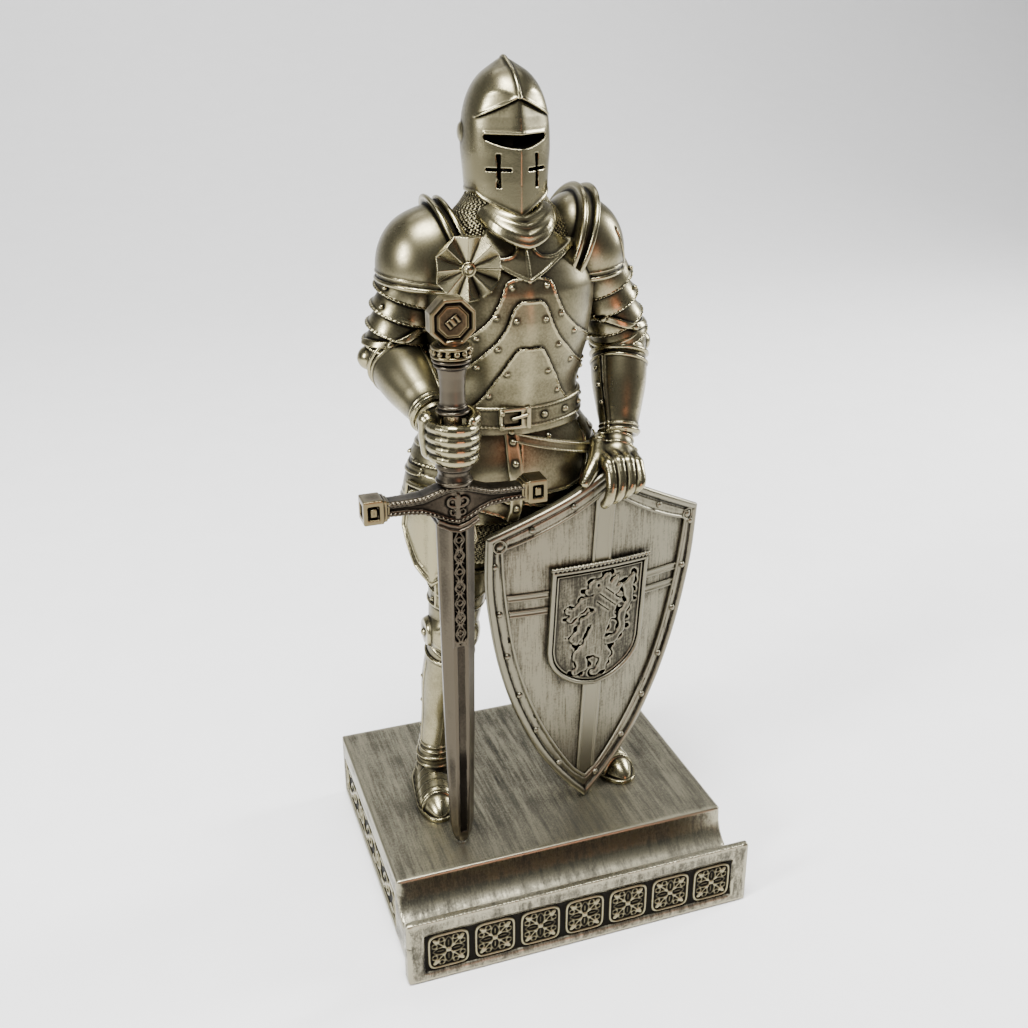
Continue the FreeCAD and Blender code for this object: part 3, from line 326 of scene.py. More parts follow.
class Clay:
    """A block of distances in mm, with so many cells to the mm: negative is metal."""

    def __init__(self, low, high, fine=3):
        self.low, self.fine = np.floor(np.array(low, float)), fine
        self.size = ((np.ceil(np.array(high, float)) - self.low) * fine + 1).astype(int)
        self.line = [(self.low[i] + np.arange(self.size[i]) / fine).astype(F) for i in range(3)]
        self.d = np.full(self.size, AWAY, F)

    def window(self, low, high):
        cuts = []
        for i in range(3):
            a = int(max(0, math.floor((low[i] - self.low[i]) * self.fine)))
            b = int(min(self.size[i], math.ceil((high[i] - self.low[i]) * self.fine) + 1))
            cuts.append(slice(a, max(a, b)))
        x, y, z = (self.line[i][cuts[i]] for i in range(3))
        return tuple(cuts), x[:, None, None], y[None, :, None], z[None, None, :]

    def add(self, shape, soft=0.0):
        cuts, x, y, z = self.window(shape.low - 2 - soft, shape.high + 2 + soft)
        self.d[cuts] = smin(self.d[cuts], shape.far(x, y, z), soft)

    def cut(self, shape, soft=0.0):
        cuts, x, y, z = self.window(shape.low - 2 - soft, shape.high + 2 + soft)
        self.d[cuts] = smax(self.d[cuts], -shape.far(x, y, z), soft)

    def join(self, d, soft=0.0):
        self.d[:] = smin(self.d, d, soft)

    def keep(self, d, soft=0.0):
        """Keeps only the metal where d is negative."""
        self.d[:] = smax(self.d, d, soft)

    def all(self):
        return self.window(self.low, self.low + self.size)[1:]

    def near(self, reach=2.2):
        return Skin(self, reach)

    def hole(self, axis, z0, z1, r):
        """A straight bore up the sword's axis."""
        def far(x, y, z):
            wide = np.hypot(x - axis[0], y - axis[1]) - r
            return most(wide, most(z0 - z, z - z1))
        self.cut(Shape(far, (axis[0] - r, axis[1] - r, z0), (axis[0] + r, axis[1] + r, z1)))


def clay_of(low, high, fine=3):
    """A clay with the places of its cells."""
    c = Clay(low, high, fine)
    return c, *c.all()


class Skin:
    """The cells of a clay close to its surface, for relief in the surface's own coordinates."""

    def __init__(self, clay, reach):
        self.clay = clay
        self.spot = np.nonzero(np.abs(clay.d) < reach)
        self.at = self.x, self.y, self.z = [clay.line[i][self.spot[i]] for i in range(3)]
        self.h = clay.d[self.spot].copy()
        self.d = self.h.copy()

    def join(self, d, where=True):
        self.d = np.where(where, least(self.d, d), self.d)

    def plate(self, edge_, high, soft=0.25):
        self.join(smax(self.h - high, edge_, soft))

    def bead(self, gap_, size, up=0.0, where=True):
        self.join(np.hypot(self.h - up, gap_) - size, where)

    def rope(self, gap_, along, size, up=0.0, pitch=1.3):
        """A bead of twisted or milled look: its thickness beats along its length."""
        beat = size * (0.86 + 0.2 * np.sin(along * (math.tau / pitch)))
        self.bead(gap_, beat, up)

    def groove(self, gap_, size, up=0.0):
        self.d = most(self.d, size - np.hypot(self.h - up, gap_))

    def sink(self, edge_, deep, soft=0.2):
        self.d = most(self.d, -smax(-(self.h + deep), edge_, soft))

    def studs(self, u, v, places, size, up=0.2):
        for pu, pv in places:
            pick = np.nonzero((np.abs(u - pu) < size + 1) & (np.abs(v - pv) < size + 1))
            away = np.sqrt((u[pick] - pu) ** 2 + (v[pick] - pv) ** 2 + (self.h[pick] - up) ** 2)
            self.d[pick] = least(self.d[pick], away - size)

    def mail(self, u, v, size=0.26, pitch=1.25):
        """Small interlocked rings: staggered rows of raised loops."""
        k = math.tau / pitch
        row = np.floor(v / (pitch * 0.8))
        loops = np.cos(k * u + (row % 2) * math.pi) * np.cos(k * v / 0.8)
        self.d = self.d - size * (loops * 0.75 + 0.35 * np.cos(2 * k * u + 1.3 * row))

    def done(self):
        self.clay.d[self.spot] = self.d


def blur(a, reach):
    """A box mean of the given reach in cells along each axis."""
    for axis in range(3):
        pad = [(0, 0)] * 3
        pad[axis] = (reach + 1, reach)
        c = np.cumsum(np.pad(a, pad, mode="edge"), axis=axis, dtype=F)
        n = 2 * reach + 1
        hi = [slice(None)] * 3
        lo = [slice(None)] * 3
        hi[axis], lo[axis] = slice(n, None), slice(None, -n)
        a = (c[tuple(hi)] - c[tuple(lo)]) / n
    return a


def sample(field, low, step, points):
    """The field's value at points, trilinear."""
    p = (points - low) / step
    top = np.array(field.shape) - 2
    i = np.clip(np.floor(p).astype(int), 0, top)
    f = np.clip(p - i, 0, 1)
    out = 0
    for dx in (0, 1):
        for dy in (0, 1):
            for dz in (0, 1):
                w = (f[:, 0] if dx else 1 - f[:, 0]) * (f[:, 1] if dy else 1 - f[:, 1]) \
                    * (f[:, 2] if dz else 1 - f[:, 2])
                out = out + w * field[i[:, 0] + dx, i[:, 1] + dy, i[:, 2] + dz]
    return out


def mesh_of(name, points, faces, wear_and_shade=None):
    """A mesh object from arrays, in mm, smooth shaded."""
    me = bpy.data.meshes.new(name)
    n, k = faces.shape
    me.vertices.add(len(points))
    me.vertices.foreach_set("co", (np.asarray(points) * MM).astype(F).ravel())
    me.loops.add(n * k)
    me.loops.foreach_set("vertex_index", faces.astype(np.int32).ravel())
    me.polygons.add(n)
    me.polygons.foreach_set("loop_start", np.arange(0, n * k, k, dtype=np.int32))
    me.polygons.foreach_set("use_smooth", np.ones(n, bool))
    me.update(calc_edges=True)
    if wear_and_shade is not None:
        me.attributes.new("wear_and_shade", "FLOAT", "POINT").data.foreach_set("value", wear_and_shade.astype(F))
    o = bpy.data.objects.new(name, me)
    bpy.context.scene.collection.objects.link(o)
    return o


def largest(faces, count):
    """Keeps the faces of parts bigger than a crumb."""
    label = np.arange(count)
    while True:
        low = label[faces].min(1)
        new = label.copy()
        for i in range(faces.shape[1]):
            np.minimum.at(new, faces[:, i], low)
        new = new[new]
        if (new == label).all():
            break
        label = new
    size = np.bincount(label[faces[:, 0]], minlength=count)
    return faces[size[label[faces[:, 0]]] > CRUMB]


# Which of the whole figure's 1 mm cells hold metal, to tell how hidden a point is and paint shade there.
CAVE_LOW, CAVE_HIGH = np.array([-62, -64, -4]), np.array([62, 46, 266])
CAVE = np.zeros(CAVE_HIGH - CAVE_LOW + 1, bool)


def fill_block(clay):
    """Marks the cells that a clay's metal fills."""
    rough = clay.d[::clay.fine, ::clay.fine, ::clay.fine] < 0
    at = np.round(clay.low - CAVE_LOW).astype(int)
    ends = least(at + rough.shape, CAVE.shape)
    cells = tuple(slice(max(a, 0), b) for a, b in zip(at, ends))
    inner = tuple(slice(max(-a, 0), max(-a, 0) + s.stop - s.start) for a, s in zip(at, cells))
    CAVE[cells] |= rough[inner]


def fill_cave(points):
    """Marks the cells that points lie in."""
    spot = np.round(points - CAVE_LOW).astype(int)
    spot = np.clip(spot, 0, np.array(CAVE.shape) - 1)
    CAVE[spot[:, 0], spot[:, 1], spot[:, 2]] = True


def cast(clay, name, node, look, body="figure", bend=None, reach=0.8, flat=0.0, shade=None):
    """Skins a clay into a piece that stands for its node, with how worn each point is, any painted shade its
    shade function sets, and its metal marked for the painted shade between parts.
    """
    grid = openvdb.FloatGrid(AWAY)
    grid.copyFromArray(np.ascontiguousarray(clay.d))
    grid.transform = openvdb.createLinearTransform(voxelSize=1.0 / clay.fine)
    points, threes, faces = grid.convertToPolygons(isovalue=0.0, adaptivity=flat)
    points = np.asarray(points, float) + clay.low
    faces = np.asarray(faces)
    if flat:
        faces = np.vstack([threes, faces[:, :3], faces[:, (0, 2, 3)]])
    faces = largest(faces, len(points))
    used = np.unique(faces)
    slim = np.zeros(len(points), int)
    slim[used] = np.arange(len(used))
    points, faces = points[used], slim[faces]
    solid = np.clip(0.5 - clay.d * clay.fine, 0, 1)
    wear_and_shade = sample(blur(solid, max(1, round(reach * clay.fine))), clay.low, 1.0 / clay.fine, points)
    if shade is not None:
        wear_and_shade = shade(points, wear_and_shade)
    if bend is None:
        fill_block(clay)
    else:
        points = bend(points)
        fill_cave(points)
    o = mesh_of(name, points + SHIFT, faces, wear_and_shade)
    slot, material = look
    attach(o, body)
    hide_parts(node)
    o.data.materials.clear()
    o.data.materials.append(material)
    PIECES.append(o)


# ---------------------------------------------------------------- finishes


class Look:
    """A small helper that wires shader nodes."""

    def __init__(self, name):
        self.m = bpy.data.materials.new(name)
        self.m.use_nodes = True
        self.t = self.m.node_tree
        self.t.nodes.clear()
        self.shader = self.t.nodes.new("ShaderNodeBsdfPrincipled")
        out = self.t.nodes.new("ShaderNodeOutputMaterial")
        self.t.links.new(self.shader.outputs[0], out.inputs[0])
        self.where = self.t.nodes.new("ShaderNodeTexCoord").outputs["Object"]

    def put(self, socket, value):
        if isinstance(value, bpy.types.NodeSocket):
            self.t.links.new(value, socket)
        else:
            socket.default_value = value

    def math(self, kind, a, b=0.0, clamp=False):
        n = self.t.nodes.new("ShaderNodeMath")
        n.operation, n.use_clamp = kind, clamp
        self.put(n.inputs[0], a)
        self.put(n.inputs[1], b)
        return n.outputs[0]

    def noise(self, scale, detail=4.0, rough=0.55, stretch=(1, 1, 1), turn=0.0):
        mapping = self.t.nodes.new("ShaderNodeMapping")
        mapping.inputs["Scale"].default_value = stretch
        mapping.inputs["Rotation"].default_value = (0, 0, turn)
        self.t.links.new(self.where, mapping.inputs[0])
        n = self.t.nodes.new("ShaderNodeTexNoise")
        n.inputs["Scale"].default_value = scale
        n.inputs["Detail"].default_value = detail
        n.inputs["Roughness"].default_value = rough
        self.t.links.new(mapping.outputs[0], n.inputs["Vector"])
        return n.outputs["Fac"]

    def steps(self, value, *stops):
        ramp = self.t.nodes.new("ShaderNodeValToRGB")
        bar = ramp.color_ramp
        while len(bar.elements) < len(stops):
            bar.elements.new(0.5)
        for element, (at, colour) in zip(bar.elements, stops):
            element.position = at
            element.color = (*colour, 1)
        self.t.links.new(value, ramp.inputs[0])
        return ramp.outputs[0]

    def value_of(self, name):
        n = self.t.nodes.new("ShaderNodeAttribute")
        n.attribute_name = name
        return n.outputs["Fac"]

    def span(self, value, low, high, to_low=0.0, to_high=1.0):
        n = self.t.nodes.new("ShaderNodeMapRange")
        self.put(n.inputs[0], value)
        for i, v in enumerate((low, high, to_low, to_high), start=1):
            n.inputs[i].default_value = v
        return n.outputs[0]

    def bump(self, height, deep, strength=1.0):
        n = self.t.nodes.new("ShaderNodeBump")
        n.inputs["Strength"].default_value = strength
        n.inputs["Distance"].default_value = deep * MM
        self.t.links.new(height, n.inputs["Height"])
        self.t.links.new(n.outputs[0], self.shader.inputs["Normal"])


def plated(name, bright, middle_, dark, rough=0.3, mottle=0.25, grain=0.3, streak=None,
           recess=4.6, painted_shade_gain=1.6, bias=0.0, streak_gain=0.0, slot=None):
    """Cast metal, bright where rubbed, dark with patina in its recesses and with painted shade where other
    parts close in: the slot's name and the material.
    """
    k = Look(name)
    wear_and_shade, deep = k.value_of("wear_and_shade"), k.value_of("deep")
    patina_and_painted_shade = k.math("MULTIPLY", k.math("SUBTRACT", wear_and_shade, 0.5), recess)
    # Painted shade: deep darkens points that the neighbouring parts close in on.
    patina_and_painted_shade = k.math("ADD", patina_and_painted_shade, k.math("MULTIPLY", k.math("SUBTRACT", deep, 0.5), painted_shade_gain))
    cloud = k.math("SUBTRACT", k.noise(70.0, 5.0, 0.6), 0.5)
    fine = k.math("SUBTRACT", k.noise(1400.0, 3.0, 0.6), 0.5)
    patina_and_painted_shade = k.math("ADD", patina_and_painted_shade, k.math("MULTIPLY", cloud, mottle))
    patina_and_painted_shade = k.math("ADD", patina_and_painted_shade, k.math("MULTIPLY", fine, grain))
    if streak:
        lines = k.math("SUBTRACT", k.noise(*streak), 0.5)
        patina_and_painted_shade = k.math("ADD", patina_and_painted_shade, k.math("MULTIPLY", lines, streak_gain))
    patina_and_painted_shade = k.math("ADD", patina_and_painted_shade, 0.3 + bias, clamp=True)
    k.put(k.shader.inputs["Base Color"], k.steps(patina_and_painted_shade, (0.05, bright), (0.42, middle_), (0.85, dark)))
    k.put(k.shader.inputs["Roughness"], k.span(patina_and_painted_shade, 0.0, 1.0, rough, min(rough + 0.42, 0.9)))
    k.shader.inputs["Metallic"].default_value = 1.0
    k.shader.inputs["Specular IOR Level"].default_value = 0.5
    k.bump(fine, 0.03, 0.6)
    return slot or name, k.m


def plain(name, colour, rough, metal=0.0, grain=900.0, deep=0.02, shift=0.25):
    """A plain finish with a fine grain in its colour and its height."""
    k = Look(name)
    fine = k.noise(grain, 4.0, 0.6)
    low = tuple(v * (1 - shift) for v in colour)
    high = tuple(min(1.0, v * (1 + shift)) for v in colour)
    k.put(k.shader.inputs["Base Color"], k.steps(fine, (0.25, low), (0.75, high)))
    k.put(k.shader.inputs["Roughness"], k.span(fine, 0.2, 0.8, rough * 0.85, min(rough * 1.15, 1)))
    k.shader.inputs["Metallic"].default_value = metal
    k.bump(fine, deep)
    return k.m


# DARK is both the patina in recesses and the painted shade where parts close in on each other.
BRIGHT, MID, DARK = (0.25, 0.224, 0.133), (0.060, 0.0535, 0.0315), (0.005, 0.0042, 0.003)
ARMOUR = plated("plated_armour", BRIGHT, MID, DARK, 0.23)
MAIL = plated("plated_mail", BRIGHT, MID, DARK, 0.36, recess=6.5, bias=0.22)
STRAP = plated("plated_strap", BRIGHT, MID, DARK, 0.3, bias=0.05)
SHIELD = plated("plated_shield", (0.165, 0.153, 0.108), (0.044, 0.041, 0.030), DARK, 0.34, mottle=0.5,
                streak=(260.0, 6.0, 0.7, (6, 6, 0.35)), streak_gain=1.1, bias=0.10, recess=5.5, grain=0.5)
BASE = plated("plated_base", (0.28, 0.26, 0.185), (0.105, 0.098, 0.072), (0.016, 0.0155, 0.0145), 0.32,
              mottle=0.7, streak=(150.0, 8.0, 0.75, (3.4, 0.2, 1.0)),
              streak_gain=2.0, bias=0.04, painted_shade_gain=0.5, grain=0.6)
BRONZE = plated("bronze_sword", (0.066, 0.056, 0.040), (0.0145, 0.0122, 0.009), (0.003, 0.0026, 0.002),
                bias=0.05)
FITTING = plated("bronze_fittings", (0.14, 0.115, 0.062), (0.040, 0.032, 0.019), (0.005, 0.004, 0.003),
                 0.28, recess=4.8, bias=0.03)
STEEL = plain("steel", (0.55, 0.55, 0.56), 0.3, 1.0, 500.0)
PEN = plain("pen_metal", (0.30, 0.25, 0.18), 0.28, 1.0, 600.0)
TIP = plain("brass_tip", (0.75, 0.58, 0.28), 0.22, 1.0, 700.0)
REFILL = plain("refill_plastic", (0.10, 0.14, 0.40), 0.35, 0.0, 500.0)
FELT = plain("felt", (0.035, 0.035, 0.04), 0.95, 0.0, 2600.0, 0.25, 0.5)

# ---------------------------------------------------------------- head and neck


def column(y, *rows):
    """A loft on the knight's centre plane from rows of z, half width, front and back depth."""
    return Trunk([(z, BODY_X, y, wide, front, back) for z, wide, front, back in rows])


def helmet():
    """The great helm: round skull, faceted face with its slit and crosses, brow step, crest."""
    c, x, y, z = clay_of((-21, -15, 217), (11, 20, 262), 4)
    sx = np.abs(x - BODY_X)

    low_part = most(236.5 - z, 0) / 12

    def dome(a, front, back, top):
        dx = (x - BODY_X) * (1 + 0.07 * low_part) / a
        dy = (y - 2.4) * np.where(y > 2.4, 1 + 0.30 * low_part, 1)
        dz = (most(z - 236.5, 0) / top) ** 1.35
        b = np.where(dy < 0, front, back)
        k = np.sqrt(dx ** 2 + (dy / b) ** 2 + dz ** 2)
        g = np.sqrt((dx / a) ** 2 + (dy / b ** 2) ** 2 + (dz / top) ** 2) + 1e-6
        return k * (k - 1) / g

    skull = dome(12.5, 15.0, 14.6, 22.9)
    skull = smin(skull, egg((BODY_X, 3.4, 254.0), (3.4, 4.4, 6.6)).far(x, y, z), 2.4)
    ridge = np.interp(z, [219, 229, 238, 243, 246, 249, 251.5],
                      [-13.2, -12.9, -12.4, -12.0, -11.6, -10.9, -9.9]).astype(F)
    face = 0.56 * sx - 0.829 * (y - ridge)
    brow = 251.2 - 0.5 * sx
    visor = smax(skull, face, 1.8)
    upper = smax(skull, face - 0.8 - 0.12 * most(z - 246, 0), 1.0)
    body = np.where(z > brow, upper, visor)
    body = smin(body, np.where(sx < 11, np.hypot(z - brow - 0.2, upper + 0.25) - 0.45, AWAY), 0.25)
    hem = least(225.4, 219.2 + 0.5 * sx + most(0, (y + 6) * 0.3))
    outer = body.copy()
    body = most(body, -most(outer + 1.5, z - 234))
    rim = most(outer - 0.22, z - hem - 0.9, -(outer + 1.5))
    c.d[:] = most(smin(body, rim, 0.2), hem - z)
    over = most(np.hypot(z - 241.8, visor + 0.05) - 0.32, sx - 8.9)
    c.join(np.where(y < 0, over, AWAY), 0.3)
    low = 240.1 - 2.3 * (1 - np.clip(sx / 8.9, 0, 1) ** 2)
    slit = smax(smax(z - 241.3, low - z, 0.2), sx - 8.9, 0.2)
    upright = most(np.abs(sx - 5.5) - 0.42 - 0.03 * np.abs(z - 232), np.abs(z - 231.8) - 4.5)
    across = most(np.abs(z - 232.2) - 0.42, np.abs(sx - 5.5) - 3.1)
    cuts = most(least(slit, least(upright, across)), -(visor + 2.4))
    deep_slit = most(slit, -(visor + 6.0))
    c.d[:] = np.where(y < 0, most(c.d, -least(cuts, deep_slit)), c.d)
    strip = smax(sx - 0.55, skull - 0.7, 0.4)
    strip = most(strip, np.where(y < -4, 250.6 - z, 231.0 - z))
    c.join(strip, 0.3)
    for side in (-1, 1):
        c.add(egg((BODY_X + side * 12.2, 4.6, 241.2), (0.9, 2.7, 2.7)), 0.5)
    skin = c.near()
    for z0, y0 in ((229.0, 11.5), (236.0, 13.5)):
        for side in (-1, 1):
            away = np.sqrt((skin.y - y0) ** 2 + (skin.z - z0) ** 2 + (skin.h - 0.1) ** 2)
            skin.join(away - 0.6, (skin.x - BODY_X) * side > 0)
    skin.done()

    # Painted shade inside the helm: points well within its hollow are made fully dark.
    def shade(p, wear_and_shade):
        return np.where(sample(outer, c.low, 1.0 / c.fine, p) < -0.75, 1.0, wear_and_shade)

    cast(c, "helm", "helmet", ARMOUR, shade=shade)


def neck():
    """The mail coif under the helm, and the draped cowl folded in front of it."""
    coif = column(2.6, (207, 22.4, 14.6, 15.6), (213, 20.8, 14.2, 15.0), (216, 18.6, 13.4, 14.2),
                  (219, 16.0, 12.6, 13.4), (222, 13.2, 11.4, 12.0), (226, 11.0, 10.4, 10.8),
                  (231, 10.8, 10.2, 10.4))
    c, x, y, z = clay_of((-29, -13, 206), (19, 20, 231), 4)
    c.d[:] = smax(coif.far(x, y, z), np.abs(z - 218.8) - 10.6, 0.4)
    skin = c.near()
    u = coif.round(*skin.at, (13.6, 13.0))
    skin.mail(u, skin.z, 0.36, 1.5)
    skin.done()
    cast(c, "mail_coif", "mail_collar", MAIL, reach=0.6)
    c = Clay((-26, -21, 206), (16, 4, 227), 4)
    c.add(egg((BODY_X, -7.0, 215.4), (9.0, 8.6, 4.6)))
    rolls = ((10.6, -17.9, -7.0, 212.9, 219.6, 1.0), (9.6, -17.1, -7.2, 215.0, 220.6, 1.5),
             (8.5, -15.7, -7.4, 217.3, 221.4, 1.4), (7.2, -13.9, -7.6, 219.3, 222.2, 1.2))
    for wide, y0, y1, z0, z1, r in rolls:
        s = np.linspace(-1, 1, 25)
        path = np.stack([BODY_X + wide * np.sin(s * 1.35) / math.sin(1.35), y0 + (y1 - y0) * s ** 2,
                         z0 + (z1 - z0) * np.abs(s) ** 1.35], 1)
        c.add(tube(path, r), 1.1)
    cast(c, "cowl", "gorget", ARMOUR)


# ---------------------------------------------------------------- trunk

CHEST = column(2, (156, 22.4, 15.2, 15.0), (161, 21.6, 15.2, 14.9), (168, 21.2, 16.2, 15.2),
               (176, 23.0, 18.6, 16.8), (184, 25.2, 20.6, 18.2), (192, 26.4, 21.6, 18.7),
               (199, 26.7, 21.4, 18.6), (205, 25.2, 19.6, 17.6), (209, 23.2, 17.8, 16.4),
               (213, 19.8, 15.6, 14.6), (217, 16.0, 13.0, 12.8), (221, 13.4, 10.8, 11.4))
MEAN = (24.5, 16.6)


def breastplate():
    """The cuirass: yoke, three nested plates with milled edges and rivets, laced sides, back plate."""
    c, x, y, z = clay_of((-34, -25, 157), (24, 23, 222), 3)
    keel = 0.5 * np.exp(-((x - BODY_X) / 3.0) ** 2) * (y < 0)
    c.d[:] = smax(CHEST.far(x, y, z) - keel, np.abs(z - 189.2) - 31.0, 0.6)
    neckline = np.interp(np.abs(x - BODY_X), [0, 7.5, 10.5, 15, 21], [220.5, 219.0, 214.6, 211.6, 210.4])
    c.keep((z - neckline) * 0.85, 0.5)
    skin = c.near()
    u = CHEST.round(*skin.at, MEAN)
    s, v = np.abs(u), skin.z
    seam = 33.0

    def plate(line, high):
        line = smooth(line, 4)
        area = np.vstack([[(-6, line[0][1])], line, [(seam, 150), (-6, 150)]])
        skin.plate(edge(s, v, area, 2.5), high)
        path = np.vstack([[(-1, line[0][1])], line])
        skin.rope(gap(s, v, path), s + v, 0.34, high, 1.0)

    plate([(0, 204.0), (3.8, 203.9), (6.1, 202.6), (7.6, 198.2), (10.3, 192.9), (14, 189.2), (18.5, 186.4),
           (25, 183.6), (33, 182.4)], 0.5)
    plate([(0, 197.8), (2.8, 197.7), (4.5, 195.2), (6.1, 190.8), (9, 186), (12.6, 182.4), (16.5, 179.2),
           (24, 175.2), (33, 173)], 1.0)
    plate([(0, 184.2), (2.8, 184.1), (4.7, 181.8), (7, 177.9), (9.6, 174.2), (12.5, 170), (16, 166),
           (22, 160)], 1.5)
    yoke = smooth([(0, 203.4), (3.8, 205.2), (10, 208.4), (19, 211.4), (27, 213), (34, 213.6)], 4)
    skin.plate(edge(s, v, np.vstack([[(-6, 202.4)], yoke, [(34, 230), (-6, 230)]]), 2.5), 0.75)
    skin.bead(gap(s, v, yoke), 0.42, 0.75)
    skin.bead(gap(s, v, [(0, 217), (0, 204.4)]), 0.35, 0.75)
    panel = smooth([(22.3, 213.6), (12.6, 210.2), (8.3, 209.3), (4.4, 209.8), (2.6, 212.2), (5.3, 214.6),
                    (14.1, 217.6)], 4, closed=True)
    skin.sink(edge(s, v, panel), -0.35)
    skin.bead(gap(s, v, panel, closed=True), 0.38, 0.75)
    for lift in (0.0, 1.9):
        hem = smooth([(0, 214.6), (6.6, 216), (14.1, 218.4), (19, 220)], 4) + (0, lift)
        skin.bead(gap(s, v, hem), 0.45, 0.6)
    skin.studs(s, v, [(4.7, 201.9), (8.9, 193.6), (14.2, 187.4), (24, 182.2)], 0.72, 0.5)
    skin.studs(s, v, [(3.9, 192.6), (8.6, 184.4), (14.6, 178.6), (25, 173.4)], 0.72, 1.0)
    skin.studs(s, v, [(6.2, 176.6), (11.4, 169.4)], 0.72, 1.5)
    skin.groove(np.abs(s - seam), 0.5)
    for k in range(6):
        skin.plate(most(np.abs(s - seam) - 2.4, np.abs(v - 168 - 6.4 * k) - 0.9), 1.9)
    skin.studs(s, v, [(seam - 2.6, 168 + 6.4 * k) for k in range(6)], 0.6, 1.7)
    back = s > seam + 3
    for line in ([(36, 186), (46, 181), (56, 176), (70, 172.5)],
                 [(36, 202), (46, 200), (56, 203), (70, 206.5)]):
        skin.bead(gap(s, v, smooth(line, 5)), 0.55, where=back)
    skin.bead(skin.x - BODY_X, 0.6, where=s > 55)
    skin.done()
    cast(c, "cuirass_plates", "cuirass", ARMOUR)


HIPS = Trunk([(113, -5, 3, 26.6, 16.0, 16.4), (120, -5, 3, 28.4, 16.6, 17.0), (128, -5, 3, 31.6, 17.4, 17.6),
              (134, -5, 3, 33.0, 18.2, 18.0), (144, -5, 3, 31.0, 18.0, 17.6), (152, -5, 3, 27.6, 17.0, 16.6),
              (160, -5, 3, 22.6, 15.4, 14.8), (167, -5, 2.4, 21.4, 15.6, 15.0)])
HIP_MEAN = (29.0, 17.2)
BUCKLE_Z = 162.5


def fauld():
    """The fauld's overlapping plates, different on the two sides of the long strap."""
    c, x, y, z = clay_of((-40, -18, 125), (30, 23, 163), 3)
    c.d[:] = smax(HIPS.far(x, y, z), np.abs(z - 145) - 17, 0.5)
    skin = c.near()
    u, v = HIPS.round(*skin.at, HIP_MEAN), skin.z
    right = [(-60, 150), (-34, 147), (-24, 146.5), (-15, 143.2), (-9, 139.2), (-4.5, 135.4), (-3.4, 137),
             (-3.6, 150), (-4, 163), (-60, 163)]
    skin.plate(edge(u, v, right), 0.7)
    skin.rope(gap(u, v, right[1:7]), u, 0.5, 0.7, 1.5)
    low_right = [(-70, 134), (-30, 132), (-22, 134), (-14, 134.5), (-7, 131.4), (-4, 129.4), (-3, 140),
                 (-70, 150)]
    skin.plate(edge(u, v, low_right), 0.35)
    skin.rope(gap(u, v, low_right[1:6]), u, 0.45, 0.35, 1.5)
    left = [(-1, 163), (-1.2, 139.2), (5, 137.4), (12, 137.6), (17, 139.2), (20.4, 145.4), (23.5, 153),
            (26, 163)]
    skin.plate(edge(u, v, left), 0.8)
    skin.bead(gap(u, v, left[1:7]), 0.5, 0.8)
    low_left = [(-1, 150), (-1.2, 134.8), (6, 132.8), (13, 133), (18.4, 134.8), (22, 140), (26, 149.5),
                (70, 156), (70, 163), (-1, 163)]
    skin.plate(edge(u, v, low_left), 0.35)
    skin.rope(gap(u, v, low_left[1:7]), u + v, 0.45, 0.35, 1.5)
    behind = np.abs(u) > 30
    for z0 in (152.0, 143.5, 135.0):
        drop = z0 - 0.06 * most(np.abs(u) - 30, 0)
        skin.join(smax(skin.h - 0.55, np.abs(v - drop - 1.0) - 1.2, 0.3), behind)
        skin.bead(v - drop, 0.5, 0.5, behind)
    skin.studs(u, v, [(9, 155.0), (-20, 155), (38, 148), (-40, 148), (56, 148), (-56, 148)], 0.8, 0.8)
    skin.done()
    cast(c, "fauld_plates", "fauld", ARMOUR)


def mail_skirt():
    c, x, y, z = clay_of((-36, -16, 112), (26, 22, 129), 4)
    hip = HIPS.far(x, y, z)
    c.d[:] = smax(hip + 0.8, np.abs(z - 121.2) - 7.2, 0.5)
    c.keep(-most(hip + 3.4, z - 119))
    skin = c.near()
    skin.mail(HIPS.round(*skin.at, HIP_MEAN), skin.z, 0.3, 1.5)
    skin.done()
    cast(c, "mail_skirt_rings", "mail_skirt", MAIL, reach=0.6)


def belt():
    """The riveted waist belt."""
    def middle_line(y):
        return 162.4 + 0.035 * (y + 14)

    c, x, y, z = clay_of((-31, -18, 156), (21, 21, 169), 4)
    base = CHEST.far(x, y, z)
    c.d[:] = smax(smax(base - 1.9, -(base + 0.6), 0.2), np.abs(z - middle_line(y)) - 3.5, 0.4)
    skin = c.near()
    u, v = CHEST.round(*skin.at, MEAN), skin.z - middle_line(skin.y)
    for side in (-1, 1):
        skin.rope(np.abs(v - side * 2.9), u, 0.34, 0.0, 1.2)
    rivets = (-60, -50, -38, -29, -21.5, -15.5, 6.4, 14.6, 23, 31, 40, 52, 62)
    skin.studs(u, v, [(k, 0) for k in rivets], 0.95, 0.15)
    skin.done()
    cast(c, "belt_band", "belt", STRAP)


def buckle():
    """The belt's open frame buckle with its tongue and two rivets."""
    c = Clay((-15, -19, 156), (-1, -12, 169), 5)
    c.add(block((-8.6, -15.6, BUCKLE_Z), (4.5, 0.9, 3.3), 0.5))
    c.cut(block((-9.3, -16.4, BUCKLE_Z), (2.9, 1.0, 2.2), 0.3))
    c.add(rod((-9.0, -16.3, BUCKLE_Z), (-4.6, -16.6, 163.4), 0.5), 0.2)
    c.add(block((-4.1, -16.1, BUCKLE_Z), (0.7, 0.7, 3.4), 0.3), 0.1)
    for z0 in (160.6, 164.4):
        c.add(egg((-12.4, -16.5, z0), (0.8, 0.7, 0.8)), 0.1)
    cast(c, "buckle", "belt_buckle", STRAP, reach=0.6)


